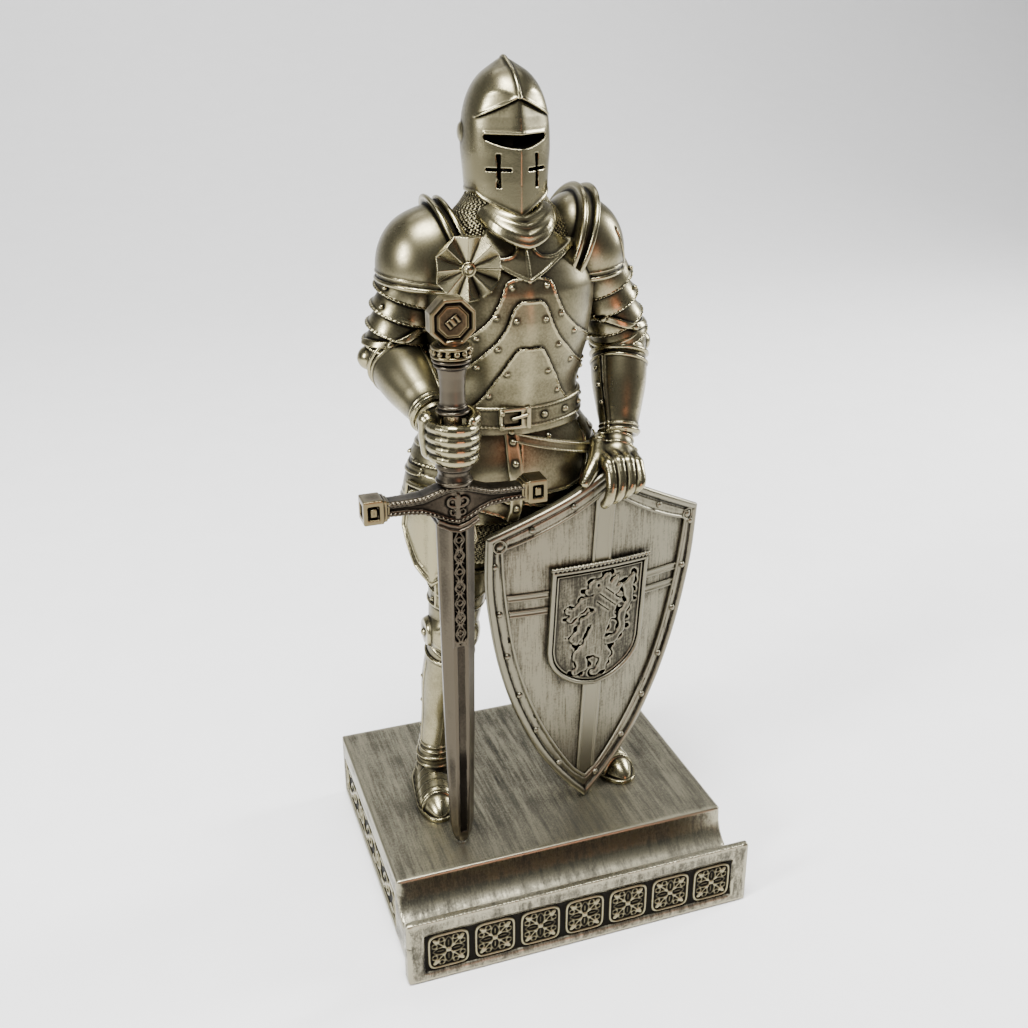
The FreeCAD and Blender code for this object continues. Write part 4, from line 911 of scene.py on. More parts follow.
def long_strap():
    """The studded strap that hangs down the middle of the fauld."""
    def middle_line(z):
        return np.interp(z, [128, 134, 142, 152, 160], [-9.6, -8.2, -7.8, -8.6, -9.0])

    c, x, y, z = clay_of((-14, -20, 128), (-3, -8, 162), 4)
    across = np.abs(x - middle_line(z).astype(F)) - 2.3 + 0.03 * np.abs(z - 146)
    strap = smax(np.abs(HIPS.far(x, y, z) - 1.1) - 0.85, across, 0.3)
    c.d[:] = smax(strap, np.abs(z - 145) - 15.3, 0.6)
    skin = c.near()
    rivets = [(0, z0) for z0 in (158.0, 155.0, 148.4, 141.4, 134.0)]
    skin.studs(skin.x - middle_line(skin.z), skin.z, rivets, 0.95, 0.1)
    skin.done()
    cast(c, "long_strap", "hanging_strap", STRAP)


def slung_belt():
    """The narrow belt slung from the buckle down to the left hip."""
    def off_line(x, z):
        return (z - 155.6) + (x + 6) * math.tan(math.radians(17))

    c, x, y, z = clay_of((-8, -18, 139), (31, 8, 159), 4)
    strap = smax(np.abs(HIPS.far(x, y, z) - 1.2) - 0.75, np.abs(off_line(x, z)) * 0.956 - 1.6, 0.3)
    c.d[:] = most(smax(strap, most(-7.5 - x, x - 30), 0.5), y - 5)
    skin = c.near()
    line = off_line(skin.x, skin.z) * 0.956
    for side in (-1, 1):
        skin.rope(np.abs(line - side * 1.25), skin.x, 0.3, 0.0, 1.1)
    skin.done()
    cast(c, "slung_belt", "sword_belt", STRAP)


def tasset(side, cx, turn, low, high):
    """One hanging thigh plate: a leaf of plate bowed about the thigh, with a raised edge."""
    def across(x, y):
        """Arc length from the plate's middle."""
        angle = np.arctan2(x - cx, -(y - 3)) - math.radians(turn)
        return ((angle + math.pi) % math.tau - math.pi) * 20.0

    c, x, y, z = clay_of(low, high, 3)
    shell = np.hypot(x - cx, y - 3) - np.interp(z, [104, 146], [21.2, 19.0]).astype(F)
    u = across(x, y)
    leaf = [(-11.5, 141.5), (11.5, 141.5), (14.6, 126), (6.8, 114.5), (0, 109.4), (-6.8, 114.5), (-14.6, 126)]
    flat = edge(u, z, leaf)
    keel = 0.5 * np.exp(-(u / 1.6) ** 2)
    c.d[:] = smax(smax(shell - keel, -(shell + 1.7), 0.2), flat, 0.5)
    rim = np.hypot(flat + 0.7, shell - 0.1) - 0.65
    inner = np.hypot(flat + 2.4, shell) - 0.32
    c.join(least(rim, inner), 0.15)
    skin = c.near()
    u = across(skin.x, skin.y)
    outward = np.hypot(skin.x - cx, skin.y - 3) > 18.5
    for rivet in (-8.5, 0, 8.5):
        away = np.sqrt((u - rivet) ** 2 + (skin.z - 138.5) ** 2 + (skin.h - 0.2) ** 2) - 0.85
        skin.join(away, outward)
    skin.done()
    cast(c, f"{side}_tasset_plate", f"{side}_tasset", ARMOUR)


# ---------------------------------------------------------------- arms

ARMS = {
    "right": dict(out=-1, dome=(-29.6, 4, 204.6), size=(13.6, 14.6, 16.4), shoulder=(-31.6, 4.6, 203.5),
                  elbow=(-38.6, 8, 178), wrist=(-34, -18.6, 167.6), rims=(-22.3, -18.8),
                  lean=(-0.36, -0.36), rim=15.8),
    "left": dict(out=1, dome=(20.4, 4, 206.0), size=(12.0, 13.8, 15.6), shoulder=(23.2, 4.6, 203.5),
                 elbow=(34.8, 7.4, 175.4), wrist=(29.4, -6.8, 150.6), rims=(11.6, 15.2),
                 lean=(0.34, 0.38), rim=17.2),
}


def pauldron(side):
    """The shoulder dome with its milled hem, and the tall double rim against the neck."""
    a = ARMS[side]
    cx, cy, cz = a["dome"]
    c = Clay((cx - 17, -16, 189), (cx + 17, 24, 228), 4)
    c.add(egg(a["dome"], a["size"]))
    neck_side = cx - a["out"] * 5.0
    c.add(egg((neck_side, 4, cz + 4.2), (8.0, 12.0, 13.0)), 5.0)
    x, y, z = c.all()

    def hem(x):
        return 197.8 + 0.12 * ((x - cx) * a["out"] + 12)

    c.keep(hem(x) - z, 0.4)
    r = np.hypot(y - 4, (z - 208.5))
    planes = [rim + lean * (z - 208.5) for rim, lean in zip(a["rims"], a["lean"])]
    for plane, big in zip(planes, (a["rim"], a["rim"] - 0.5)):
        disc = smax(np.abs(x - plane) - 0.75, r - big, 0.6)
        bead = np.hypot(x - plane, r - big + 0.3) - 0.9
        c.join(least(disc, bead), 0.4)
    web = smax(most(planes[0] - x, x - planes[1]), r - a["rim"] + 1.7, 1.2)
    c.join(web, 0.8)
    skin = c.near()
    far_out = (skin.x - cx) * a["out"] > -6.0
    above = skin.z - hem(skin.x)
    turn = np.arctan2((skin.x - cx), -(skin.y - cy)) * 12.5
    skin.bead(above - 0.9, 0.72, where=far_out)
    skin.bead(above - 3.0, 0.3, where=far_out)
    fold = smooth([(7, 214), (9.5, 207), (12.5, 203.4), (18, 202)], 5)
    fold = np.where(far_out & (side == "left"), gap(turn * a["out"], skin.z, fold), AWAY)
    skin.bead(fold, 0.45)
    skin.done()
    cast(c, f"{side}_pauldron_dome", f"{side}_pauldron", ARMOUR)


def upper_arm(side):
    """Three overlapping lames with milled hems, a laced strap across them."""
    a = ARMS[side]
    bone = Bone(a["shoulder"], np.array(a["elbow"]) + (0, 0, 1.5))
    long = bone.long
    ends = [0, long * 0.3, long * 0.53, long * 0.76, long * 0.97]
    ts, rs = [0], [8.6]
    for k, (t0, t1) in enumerate(zip(ends[:-1], ends[1:])):
        base = 9.3 - 0.35 * k
        ts += [t0 + 0.35, t1 - 0.05]
        rs += [base - 0.3, base + 0.95]
    ts, rs = ts + [long], rs + [7.6]
    shape = bone.limb(ts, rs, 0.4)
    c = Clay(least(bone.a, bone.b) - 12, most(bone.a, bone.b) + 12, 4)
    c.add(shape)
    skin = c.near()
    t, _, w = bone.at(*skin.at)
    for t1 in ends[1:]:
        dip = t1 - 0.5 + 0.8 * np.cos(w)
        skin.join(np.hypot(t - dip, skin.h - 0.1) - 0.5
                            + 0.08 * np.sin(w * 9.3 * math.tau / 1.3))
    u = w * 9.0 * a["out"]
    strap = [(-14, ends[2] - 2), (-4, ends[2] + 1.5), (4, ends[3] + 1.6), (13, ends[3] + 4.5)]
    skin.plate(gap(u, t, smooth(strap, 5)) - 1.0, 0.9)
    knot = [(-5.5, ends[2] + 0.6), (3.6, ends[3] + 1.4)]
    skin.studs(u, t, knot, 1.25, 0.8)
    skin.studs(u, t, [(9, ends[1] - 2.4), (9, ends[2] - 2.4), (-9, ends[1] - 2.4)], 0.7, 0.6)
    skin.done()
    cast(c, f"{side}_arm_lames", f"{side}_upper_arm", ARMOUR)


def elbow(side):
    """The elbow cop: a ball with a sharp keel, two raised bands and a riveted fan outside."""
    a = ARMS[side]
    e = np.array(a["elbow"], float)
    up = unit(np.array(a["shoulder"]) - e)
    down = unit(np.array(a["wrist"]) - e)
    c, x, y, z = clay_of(e - 13, e + 13, 4)
    ball = egg(e, 8.5).far(x, y, z)
    c.d[:] = ball
    for n, offset, size in ((down, 3.6, 0.85), (down, 6.0, 0.75), (up, 4.4, 0.75)):
        along = (x - e[0]) * n[0] + (y - e[1]) * n[1] + (z - e[2]) * n[2]
        out = np.sqrt(most((x - e[0]) ** 2 + (y - e[1]) ** 2 + (z - e[2]) ** 2 - along ** 2, 0))
        ring = np.hypot(along - offset, out - math.sqrt(max(8.9 ** 2 - offset ** 2, 4)) - 0.5) - size
        c.join(ring, 0.35)
    keel = unit(np.cross(up, down))
    flat = (x - e[0]) * keel[0] + (y - e[1]) * keel[1] + (z - e[2]) * keel[2]
    c.join(smax(np.abs(flat) - 0.5, ball - 0.6, 0.5), 0.5)
    side_way = np.array([a["out"], 0, 0], float)
    tip = e + side_way * 7.3
    c.add(rod(tip - side_way * 1.5, tip - side_way * 0.4, 4.1, 3.7), 0.3)
    c.add(egg(tip + side_way * 1.9, 1.4), 0.3)
    cast(c, f"{side}_elbow_cop", f"{side}_elbow", ARMOUR)


def forearm(side):
    """The vambrace: a smooth cone with rolled hems and a raised seam."""
    a = ARMS[side]
    e, w_ = np.array(a["elbow"], float), np.array(a["wrist"], float)
    bone = Bone(e, w_)
    long = bone.long
    ts = [1.2, 4.5, long * 0.4, long * 0.75, long - 2.5, long + 0.4]
    rs = [8.3, 8.5, 8.2, 6.6, 5.75, 5.9]
    c = Clay(least(e, w_) - 10.5, most(e, w_) + 10.5, 4)
    c.add(bone.limb(ts, rs, 0.5))
    skin = c.near()
    t, _, w = bone.at(*skin.at)
    top = 5.4 + 1.5 * np.abs(np.sin(w * 0.5 + 0.4))
    skin.plate(most(top - t, t - long - 3), 0.45)
    skin.bead(np.abs(t - top - 0.3), 0.55, 0.3)
    skin.bead(np.abs(t - long + 0.3), 0.6, 0.35)
    skin.bead(np.abs(t - long + 2.0), 0.3, 0.45)
    u = w * 7.0 * a["out"]
    seam = np.where(t > top, np.abs(u + 7.2), AWAY)
    skin.bead(seam, 0.42, 0.45)
    skin.groove(np.where(t > top, np.abs(u + 8.3), AWAY), 0.35, 0.45)
    skin.studs(u, t, [(-10.2, 9.5), (-9.6, 15.0), (-9.0, 20.5)], 0.7, 0.5)
    skin.done()
    cast(c, f"{side}_vambrace", f"{side}_forearm", ARMOUR)


def right_hand(axis):
    """The right fist: four fingers closed round the hilt, the thumb over them, the cuff behind."""
    ax, ay = axis
    c = Clay((ax - 13, ay - 10, 153), (ax + 11, ay + 17, 175), 5)
    wrist = np.array(ARMS["right"]["wrist"], float)
    c.add(rod(wrist + (0.2, 1.8, 0.4), (ax - 2.2, ay + 5.6, 164.6), 5.3, 5.0))
    c.add(egg((ax - 2.0, ay + 4.6, 163.6), (6.6, 4.6, 7.0)), 1.2)
    c.add(rod((ax - 6.4, ay + 4.0, 168.4), (ax - 6.2, ay + 3.0, 159.6), 2.6, 2.3), 1.0)
    for k in range(4):
        z0 = 167.3 - 2.95 * k
        start, end = math.radians(150), math.radians(372)
        turn = np.linspace(start, end, 15)
        wide = (6.1, 6.2, 6.05, 5.7)[k]
        path = np.stack([ax + wide * np.cos(turn), ay + wide * 0.96 * np.sin(turn),
                         np.full(15, z0) - 0.5 * np.cos(turn - 0.4)], 1)
        knuckle = 1 + 0.1 * np.cos((turn - start) * 3.2)
        c.add(tube(path, 1.72 * knuckle), 0.7)
        c.add(egg(path[0] + (-0.5, 0.2, 0), 1.95), 0.8)
    thumb = smooth([(ax - 3.6, ay + 6.2, 168.0), (ax + 1.5, ay + 6.4, 169.2), (ax + 5.6, ay + 2.8, 169.8),
                    (ax + 6.0, ay - 1.6, 169.6), (ax + 4.4, ay - 4.0, 169.4)], 4)
    c.add(tube(thumb, np.linspace(2.5, 1.4, len(thumb))), 0.8)
    c.hole(axis, 150, 180, 3.2)
    bone = Bone(wrist + (0, 3.0, 0.6), (ax - 2.2, ay + 5.6, 164.6))
    x, y, z = c.all()
    t, r, _ = bone.at(x, y, z)
    cuff = smax(np.abs(r - 6.2 + 0.18 * t) - 0.5, np.abs(t - 2.6) - 2.4, 0.3)
    c.join(cuff, 0.2)
    cast(c, "right_gauntlet", "right_hand", ARMOUR)


def left_hand():
    """The left gauntlet resting over the shield's top edge."""
    c = Clay((9, -29, 130), (38, -1, 157), 5)
    wrist = np.array(ARMS["left"]["wrist"], float)
    palm = np.array([25.2, -15.6, 145.0])
    c.add(rod(wrist + (-0.2, 1.0, 1.4), palm + (1.6, 3.4, 2.0), 5.0, 4.7))
    rows = axes(palm - wrist, (0, -0.5, 1))
    c.add(egg(palm + (0.2, 1.2, 0.4), (7.1, 4.0, 6.8), rows), 1.2)
    for k in range(4):
        x0 = 20.4 + 3.15 * k
        drop = (0.4, 0.0, 0.3, 1.3)[k]
        path = smooth([(x0 - 0.36 * (1.5 - k), -14.6, 147.2 - drop), (x0, -20.2, 146.0 - drop),
                       (x0 - 0.5, -24.0, 141.2), (x0 - 1.5, -24.7, 136.8 + 0.9 * k),
                       (x0 - 2.4, -23.7, 134.6 + 1.2 * k)], 4)
        c.add(tube(path, np.linspace(2.1, 1.5, len(path))), 0.55)
        c.add(egg((x0, -19.6, 146.3 - drop), (2.0, 2.3, 2.1)), 0.9)
    thumb = smooth([(21.6, -9.5, 149.0), (18.6, -14.6, 146.2), (14.9, -18.4, 143.2), (12.6, -20.2, 141.0)], 4)
    c.add(tube(thumb, np.linspace(3.1, 1.7, len(thumb))), 0.8)
    skin = c.near(1.8)
    s, f, t = along_rows(rows, wrist, *skin.at)
    back = f > 0.5
    for at in (4.0, 7.2):
        skin.bead(np.where(back & (np.abs(s) < 8), np.abs(t - at + 0.02 * s * s), AWAY), 0.4, 0.0)
    skin.done()
    cast(c, "left_gauntlet", "left_hand", ARMOUR)


# ---------------------------------------------------------------- legs

FOOT_Z = 24.95

# Each leg's loft: rows of z, centre x, centre y, half width, front and back depth.
LEGS = {
    "right": dict(out=-1, knee=(-24.4, -0.6, 87), toe=(-32.8, -2), toe_turn=7,
                  rows=[(24, -30.6, 5, 5.0, 6, 6), (38, -30.2, 5, 5.0, 6, 6), (52, -28.6, 5, 5.4, 6.4, 6.8),
                        (68, -26.2, 3.4, 7.4, 8.2, 9.6), (84, -24.4, 0.8, 7.8, 8.2, 8.4),
                        (96, -22.8, 1, 8.8, 9.4, 9.4), (110, -20.5, 2.2, 10.4, 11, 11),
                        (129, -17, 3, 11.2, 11.8, 11.8)]),
    "left": dict(out=1, knee=(15.4, 1.2, 88), toe=(29.8, -3), toe_turn=-7,
                 rows=[(24, 27.6, 5, 5.0, 6, 6), (38, 27, 5, 5.0, 6, 6), (52, 24, 5, 5.4, 6.4, 6.8),
                       (68, 19.6, 4.4, 7.4, 8.2, 9.6), (84, 16.2, 2.4, 7.8, 8.2, 8.4),
                       (96, 13.8, 2.4, 8.8, 9.4, 9.4), (110, 11, 2.6, 10.4, 11, 11),
                       (129, 7, 3, 11.2, 11.8, 11.8)]),
}


def stretch(side, z0, z1):
    """A stretch of one leg between two heights: its clay, skin, and (u, v) on its surface."""
    leg = Trunk(LEGS[side]["rows"])
    mid = [np.interp([z0, z1], leg.z, row) for row in leg.rows]
    low = (min(mid[0]) - max(mid[2]) - 3, min(mid[1]) - max(mid[3]) - 3, z0 - 1)
    high = (max(mid[0]) + max(mid[2]) + 3, max(mid[1]) + max(mid[4]) + 3, z1 + 1)
    c, x, y, z = clay_of(low, high)
    c.d[:] = smax(leg.far(x, y, z), np.abs(z - (z0 + z1) / 2) - (z1 - z0) / 2, 0.4)
    skin = c.near()
    return c, skin, leg.round(*skin.at, (8.6, 9.0)) * LEGS[side]["out"], skin.z


def cuisse(side):
    """The thigh plate with its beaded edges and rivets."""
    c, skin, u, v = stretch(side, 84, 129)
    skin.bead(np.abs(v - 97.2 - 0.05 * u), 0.55, 0.1)
    skin.plate(most(np.abs(u) - 9.5, np.abs(v - 104) - 7), 0.4)
    skin.bead(gap(np.abs(u), v, [(-1, 111), (4, 110.4), (9.5, 114), (14, 122)]), 0.45, 0.3)
    skin.bead(gap(np.abs(u), v, [(9.6, 97.5), (9.6, 113.6)]), 0.36, 0.4)
    skin.bead(gap(np.abs(u), v, [(-1, 100.2), (9.6, 102.4), (30, 108)]), 0.36, 0.3)
    skin.studs(np.abs(u), v, [(11.6, 99.6), (11.6, 105), (11.6, 110.6), (21, 103), (21, 112)], 0.7, 0.1)
    skin.done()
    cast(c, f"{side}_cuisse", f"{side}_thigh", ARMOUR)


def knee(side):
    """The knee cop: a ball with a keel, raised bands and a round plate outside."""
    out = LEGS[side]["out"]
    kx, ky, kz = LEGS[side]["knee"]
    c, x, y, z = clay_of((kx - 13, ky - 12, kz - 12), (kx + 13, ky + 13, kz + 12), 4)
    ball = egg((kx, ky, kz), (9.0, 9.1, 9.1)).far(x, y, z)
    c.d[:] = ball
    c.join(smax(np.abs(x - kx) - 0.55, smax(ball - 0.8, y - ky, 0.5), 0.6), 0.7)
    for z0, size in ((kz + 5.2, 0.7), (kz + 7.6, 0.6), (kz - 5.0, 0.7), (kz - 7.4, 0.6)):
        wide = math.sqrt(9.1 ** 2 - (z0 - kz) ** 2) + 0.35
        bend_ = z - z0 + 0.05 * (x - kx) ** 2 * np.sign(z0 - kz)
        c.join(np.hypot(bend_, np.hypot(x - kx, y - ky) - wide) - size, 0.3)
    for k, size in ((4.9, 6.3), (6.2, 4.6)):
        inner, outer = (kx + out * (k - 0.4), ky + 1.2, kz), (kx + out * (k + 1.4), ky + 1.2, kz)
        c.add(rod(inner, outer, size, size - 1.0), 0.25)
    c.keep((x - kx) * out - 9.4, 0.5)
    c.add(egg((kx + out * 9.0, ky + 1.2, kz), 1.5), 0.2)
    cast(c, f"{side}_knee_cop", f"{side}_knee", ARMOUR)


def greave(side):
    """The shin plate with its hems, ridge and rivets."""
    c, skin, u, v = stretch(side, 37, 84)
    skin.plate(most(v - 76.5 - 0.18 * np.abs(u), 39 - v), 0.35)
    skin.bead(np.abs(v - 76.0 - 0.18 * np.abs(u)), 0.55, 0.3)
    for drop in (0.0, 2.6):
        skin.bead(gap(np.abs(u), v, [(-1, 78.4 + drop), (6, 80.2 + drop), (20, 86 + drop)]), 0.42, 0.1)
    skin.bead(np.abs(v - 40.2), 0.6, 0.3)
    skin.bead(np.abs(v - 42.2), 0.35, 0.35)
    shin = v < 76
    skin.bead(np.abs(u) - 13.2, 0.34, 0.35, shin)
    skin.join(skin.h - 0.55 * np.exp(-(u / 1.1) ** 2) * shin)
    skin.studs(np.abs(u), v, [(15.2, 48), (15.2, 58), (15.2, 68)], 0.75, 0.2)
    skin.done()
    cast(c, f"{side}_greave_shell", f"{side}_greave", ARMOUR)


def sabaton(side):
    """The lamed shoe on its sole, turned a little outwards, with a ringed ankle."""
    fx, fy = LEGS[side]["toe"]
    leg = Trunk(LEGS[side]["rows"])
    ax, ay = np.interp(38, leg.z, leg.rows[0]), 5.0
    a = math.radians(-LEGS[side]["toe_turn"])
    c, x, y, z = clay_of((fx - 11, fy - 20, 23), (fx + 11, fy + 20, 42), 4)
    f = (x - fx) * math.sin(a) - (y - fy) * math.cos(a)
    s = (x - fx) * math.cos(a) + (y - fy) * math.sin(a)
    pitch = 3.3
    saw = np.where((f > -9) & (f < 9.2), 0.6 * (1 - ((f + 9) / pitch) % 1.0), 0.0).astype(F)
    top = np.interp(f, [-16, -8, 0, 8, 16.5], [7.4, 9.2, 7.6, 6.3, 4.6]).astype(F)
    wide = np.interp(f, [-16.5, -8, 2, 9, 16.5], [5.4, 5.6, 6.4, 6.3, 4.6]).astype(F)
    k = np.sqrt((s / (wide + saw * 0.6)) ** 2 + (most(z - 26.2, 0) / (top + saw)) ** 2
                + (most(np.abs(f) - 6, 0) / 10.4) ** 2)
    c.d[:] = smax((k - 1) * 5.0, FOOT_Z - z, 0.25)
    sole = (np.sqrt((s / 7.0) ** 2 + (most(np.abs(f) - 6, 0) / 11.0) ** 2) - 1) * 5.5
    c.join(smax(smax(sole, z - 26.4, 0.3), FOOT_Z - z, 0.2), 0.1)
    c.add(rod((ax, ay, 27), (ax, ay - 0.3, 36.5), 6.9, 6.1), 1.0)
    for z0, r in ((31.5, 6.5), (34.6, 6.25), (37.6, 6.1)):
        ring = np.hypot(z - z0, np.hypot(x - ax, y - ay) - r) - 0.6
        c.join(ring, 0.2)
    c.keep(FOOT_Z - z, 0.1)
    cap = np.hypot(f - 9.6 - 0.03 * s * s, (k - 1) * 5.0) - 0.5
    c.join(np.where(z > 25.5, cap, AWAY), 0.15)
    cast(c, f"{side}_sabaton_lames", f"{side}_sabaton", ARMOUR)


# ---------------------------------------------------------------- shield

TOP_EDGE = smooth([(0, 118.8), (10.9, 112.2), (22.3, 107.0), (31.2, 103.2), (39, 99.8)], 5)
SIDE_EDGE = smooth([(39, 99.8), (38.6, 84), (36.7, 71), (34.0, 58.5), (30.2, 46.2), (25.4, 34.8),
                    (18.2, 21.4), (8.6, 8.8), (0, 0)], 5)
IN_TOP = smooth([(0, 111.6), (7, 107.1), (15.6, 102.6), (25.5, 98.4), (33.8, 95.6)], 5)
IN_SIDE = smooth([(33.8, 95.6), (32.9, 86), (31.3, 75), (28.7, 62), (25.2, 50), (20.4, 38), (13.8, 25.6),
                  (5.6, 13.6), (0, 8.4)], 5)


def both(*halves):
    """A closed outline from the pieces of its right half."""
    right = np.vstack([halves[0]] + [h[1:] for h in halves[1:]])
    return np.vstack([right, right[-2:0:-1] * (-1, 1)])


OUTER, INNER = both(TOP_EDGE, SIDE_EDGE), both(IN_TOP, IN_SIDE)
BADGE = both(np.array([(0, 87.0), (17.9, 87.0), (17.9, 58.5)]),
             smooth([(17.9, 58.5), (16.6, 53.6), (12.8, 49.0), (6.8, 45.4), (0, 43.8)], 5))
ROUND = 168.0


def spin(axis, degrees):
    a = math.radians(degrees)
    c, s = math.cos(a), math.sin(a)
    return np.array({"x": [(1, 0, 0), (0, c, -s), (0, s, c)], "y": [(c, 0, s), (0, 1, 0), (-s, 0, c)],
                     "z": [(c, -s, 0), (s, c, 0), (0, 0, 1)]}[axis])


SHIELD_TURN = spin("z", 9.85) @ spin("y", 3.2) @ spin("x", -0.5)


def bowed(p):
    """From the shield's flat drawing to its bowed, leaning place."""
    lean = np.arcsin(p[:, 0] / ROUND)
    out = ROUND - p[:, 1]
    local = np.stack([out * np.sin(lean), ROUND - out * np.cos(lean), p[:, 2]], 1)
    return local @ SHIELD_TURN.T + (14.9, -19.7, 25.2)


def sheet_of(low, high, fine):
    """A clay over part of the flat shield, with its u, depth and v."""
    c = Clay((low[0], -5, low[1]), (high[0], 5, high[1]), fine)
    u, w, v = c.all()
    return c, u, w, v


def outlined(u, v, points, reach=AWAY):
    """Signed distance to an outline over a sheet, for all its depths."""
    return edge(u[:, 0, :], v[0, :, :], points, reach)[:, None, :]


def shield_face():
    """The plate itself, with a line round the edge of its back."""
    c, u, w, v = sheet_of((-41, -2), (41, 121), 2)
    outline = outlined(u, v, OUTER, 4.0)
    c.d[:] = smax(outline + 0.15, smax(-0.05 - w, w - 2.4, 0.3), 0.5)
    skin = c.near(1.4)
    skin.bead(gap(skin.x, skin.z, OUTER, True) - 3.0, 0.5, where=skin.y > 1.2)
    skin.done()
    cast(c, "shield_face", "shield_plate", SHIELD, bend=bowed)


def rim_spots():
    """Even places along the middle of the shield's border."""
    line = np.vstack([INNER, INNER[:1]])
    length = np.concatenate([[0], np.cumsum(np.hypot(*np.diff(line, axis=0).T))])
    spots = []
    for s in np.arange(8, length[-1], 15.4):
        p = np.array([np.interp(s, length, line[:, 0]), np.interp(s, length, line[:, 1])])
        near = OUTER[np.argmin(np.hypot(*(OUTER - p).T))]
        spots.append(p + unit(near - p) * 2.9)
    return spots


def shield_rim():
    """The raised border: a heavy bead outside, a fine one inside, and sprigs pressed between rivets."""
    c, u, w, v = sheet_of((-41, -2), (41, 121), 4)
    outline, inward = outlined(u, v, OUTER), outlined(u, v, INNER)
    strip = smax(smax(outline, -inward, 0.2), smax(-0.85 - w, w, 0.2), 0.3)
    rim = np.hypot(outline + 0.95, w + 0.5) - 1.25
    line = np.hypot(inward - 0.45, w + 0.8) - 0.42
    c.d[:] = most(smin(strip, least(rim, line), 0.15), w)
    c.keep(0.3 - np.hypot(np.abs(outline) - 2.7, w + 0.85))
    c.keep(0.25 - np.hypot(inward - 1.3, w + 0.85))
    sprig = np.full(outline.shape, AWAY, F)
    for p in rim_spots()[::2]:
        d = np.hypot(u - p[0], v - p[1] - 5.5)
        a = np.arctan2(v - p[1] - 5.5, u - p[0])
        sprig = least(sprig, d - 0.75 - 0.55 * np.abs(np.cos(2 * a)))
    c.keep(-most(sprig, -0.55 - w, outline + 1.6))
    cast(c, "shield_rim", "shield_border", SHIELD, bend=bowed)


def shield_studs():
    """The border's rivets, and a ringed boss in each upper corner."""
    c, u, w, v = sheet_of((-41, -2), (41, 121), 5)
    for p in rim_spots():
        x, y, z = u - p[0], w + 0.75, v - p[1]
        k = np.nonzero(np.abs(u[:, 0, 0] - p[0]) < 2)[0]
        m = np.nonzero(np.abs(v[0, 0, :] - p[1]) < 2)[0]
        s = (slice(k[0], k[-1] + 1), slice(None), slice(m[0], m[-1] + 1))
        head = np.sqrt(x[s[0]] ** 2 + (y * 1.15) ** 2 + z[:, :, s[2]] ** 2) - 1.15
        c.d[s] = least(c.d[s], head)
    for side in (-1, 1):
        away = np.hypot(u - 35.0 * side, v - 97.2)
        head = np.hypot(away, (w + 0.7) * 1.4) - 1.3
        c.join(least(head, np.hypot(away - 2.0, w + 0.85) - 0.4))
    c.keep(w + 0.4)
    cast(c, "shield_studs", "shield_rivets", SHIELD, bend=bowed)


def shield_cross():
    """The raised cross: a ridged post, and a beam of two beaded strips."""
    c, u, w, v = sheet_of((-36, 5), (36, 114), 4)
    inward, badge = outlined(u, v, INNER), outlined(u, v, BADGE)
    post = smax(np.abs(u) - 3.5, smax(-0.45 - w, w, 0.1), 0.2)
    ridges = np.hypot(np.abs(u) - 3.0, w + 0.4) - 0.62
    beam = np.full(c.d.shape, AWAY, F)
    for z0 in (79.15, 73.55):
        strip = smax(np.abs(v - z0) - 1.3, smax(-0.5 - w, w, 0.1), 0.2)
        beads = np.hypot(np.abs(v - z0) - 0.85, w + 0.45) - 0.42
        beam = least(beam, strip, beads)
    dots = np.hypot(np.hypot((u + 1.1) % 2.2 - 1.1, v - 76.35), w + 0.1) - 0.5
    c.d[:] = most(least(post, ridges, beam, dots), w, inward + 0.05, 0.1 - badge)
    cast(c, "shield_cross", "shield_bands", SHIELD, bend=bowed)


# The beast on the badge, limb by limb: two ends in (u, v) and the thickness at each.
BEAST = [
    ((-1.6, 58.6), (0.6, 65.0), 3.3, 2.5), ((0.6, 65.0), (2.4, 72.4), 2.5, 3.9),
    ((2.4, 72.4), (0.6, 78.0), 3.9, 3.0), ((0.2, 79.0), (-2.6, 79.8), 2.7, 1.5),
    ((-2.6, 78.6), (-4.4, 78.2), 1.1, 0.7), ((1.6, 81.2), (2.6, 83.0), 1.0, 0.4),
    ((1.0, 74.0), (-5.4, 74.6), 1.9, 1.4), ((-5.4, 74.6), (-8.6, 71.6), 1.4, 1.0),
    ((-8.6, 71.6), (-11.2, 72.4), 1.1, 0.6), ((-8.6, 71.6), (-10.6, 69.6), 0.9, 0.5),
    ((0.6, 70.0), (-5.0, 67.6), 1.7, 1.3), ((-5.0, 67.6), (-6.6, 63.4), 1.3, 1.0),
    ((-6.6, 63.4), (-9.2, 62.4), 1.0, 0.5), ((-6.6, 63.4), (-8.0, 60.8), 0.8, 0.4),
    ((-2.0, 59.0), (-6.4, 55.6), 2.5, 1.6), ((-6.4, 55.6), (-4.6, 51.4), 1.6, 1.1),
    ((-4.6, 51.4), (-7.6, 49.8), 1.1, 0.6), ((-0.6, 58.2), (3.6, 54.4), 2.5, 1.6),
    ((3.6, 54.4), (2.6, 49.8), 1.5, 1.0), ((2.6, 49.8), (-0.6, 48.2), 1.0, 0.5),
    ((0.8, 59.6), (6.2, 59.0), 0.8, 0.75), ((6.2, 59.0), (9.6, 62.4), 0.75, 0.7),
    ((9.6, 62.4), (9.0, 67.6), 0.7, 0.65), ((9.0, 67.6), (11.8, 72.2), 0.65, 0.6),
    ((11.8, 72.2), (10.6, 77.4), 0.7, 1.5), ((10.6, 77.4), (12.6, 80.6), 1.5, 0.4),
    ((5.4, 76.6), (7.2, 78.2), 0.9, 0.3), ((6.0, 72.6), (8.0, 73.0), 0.9, 0.3),
    ((4.6, 79.4), (6.0, 81.4), 0.9, 0.3), ((4.2, 68.6), (6.0, 67.6), 0.9, 0.3),
]


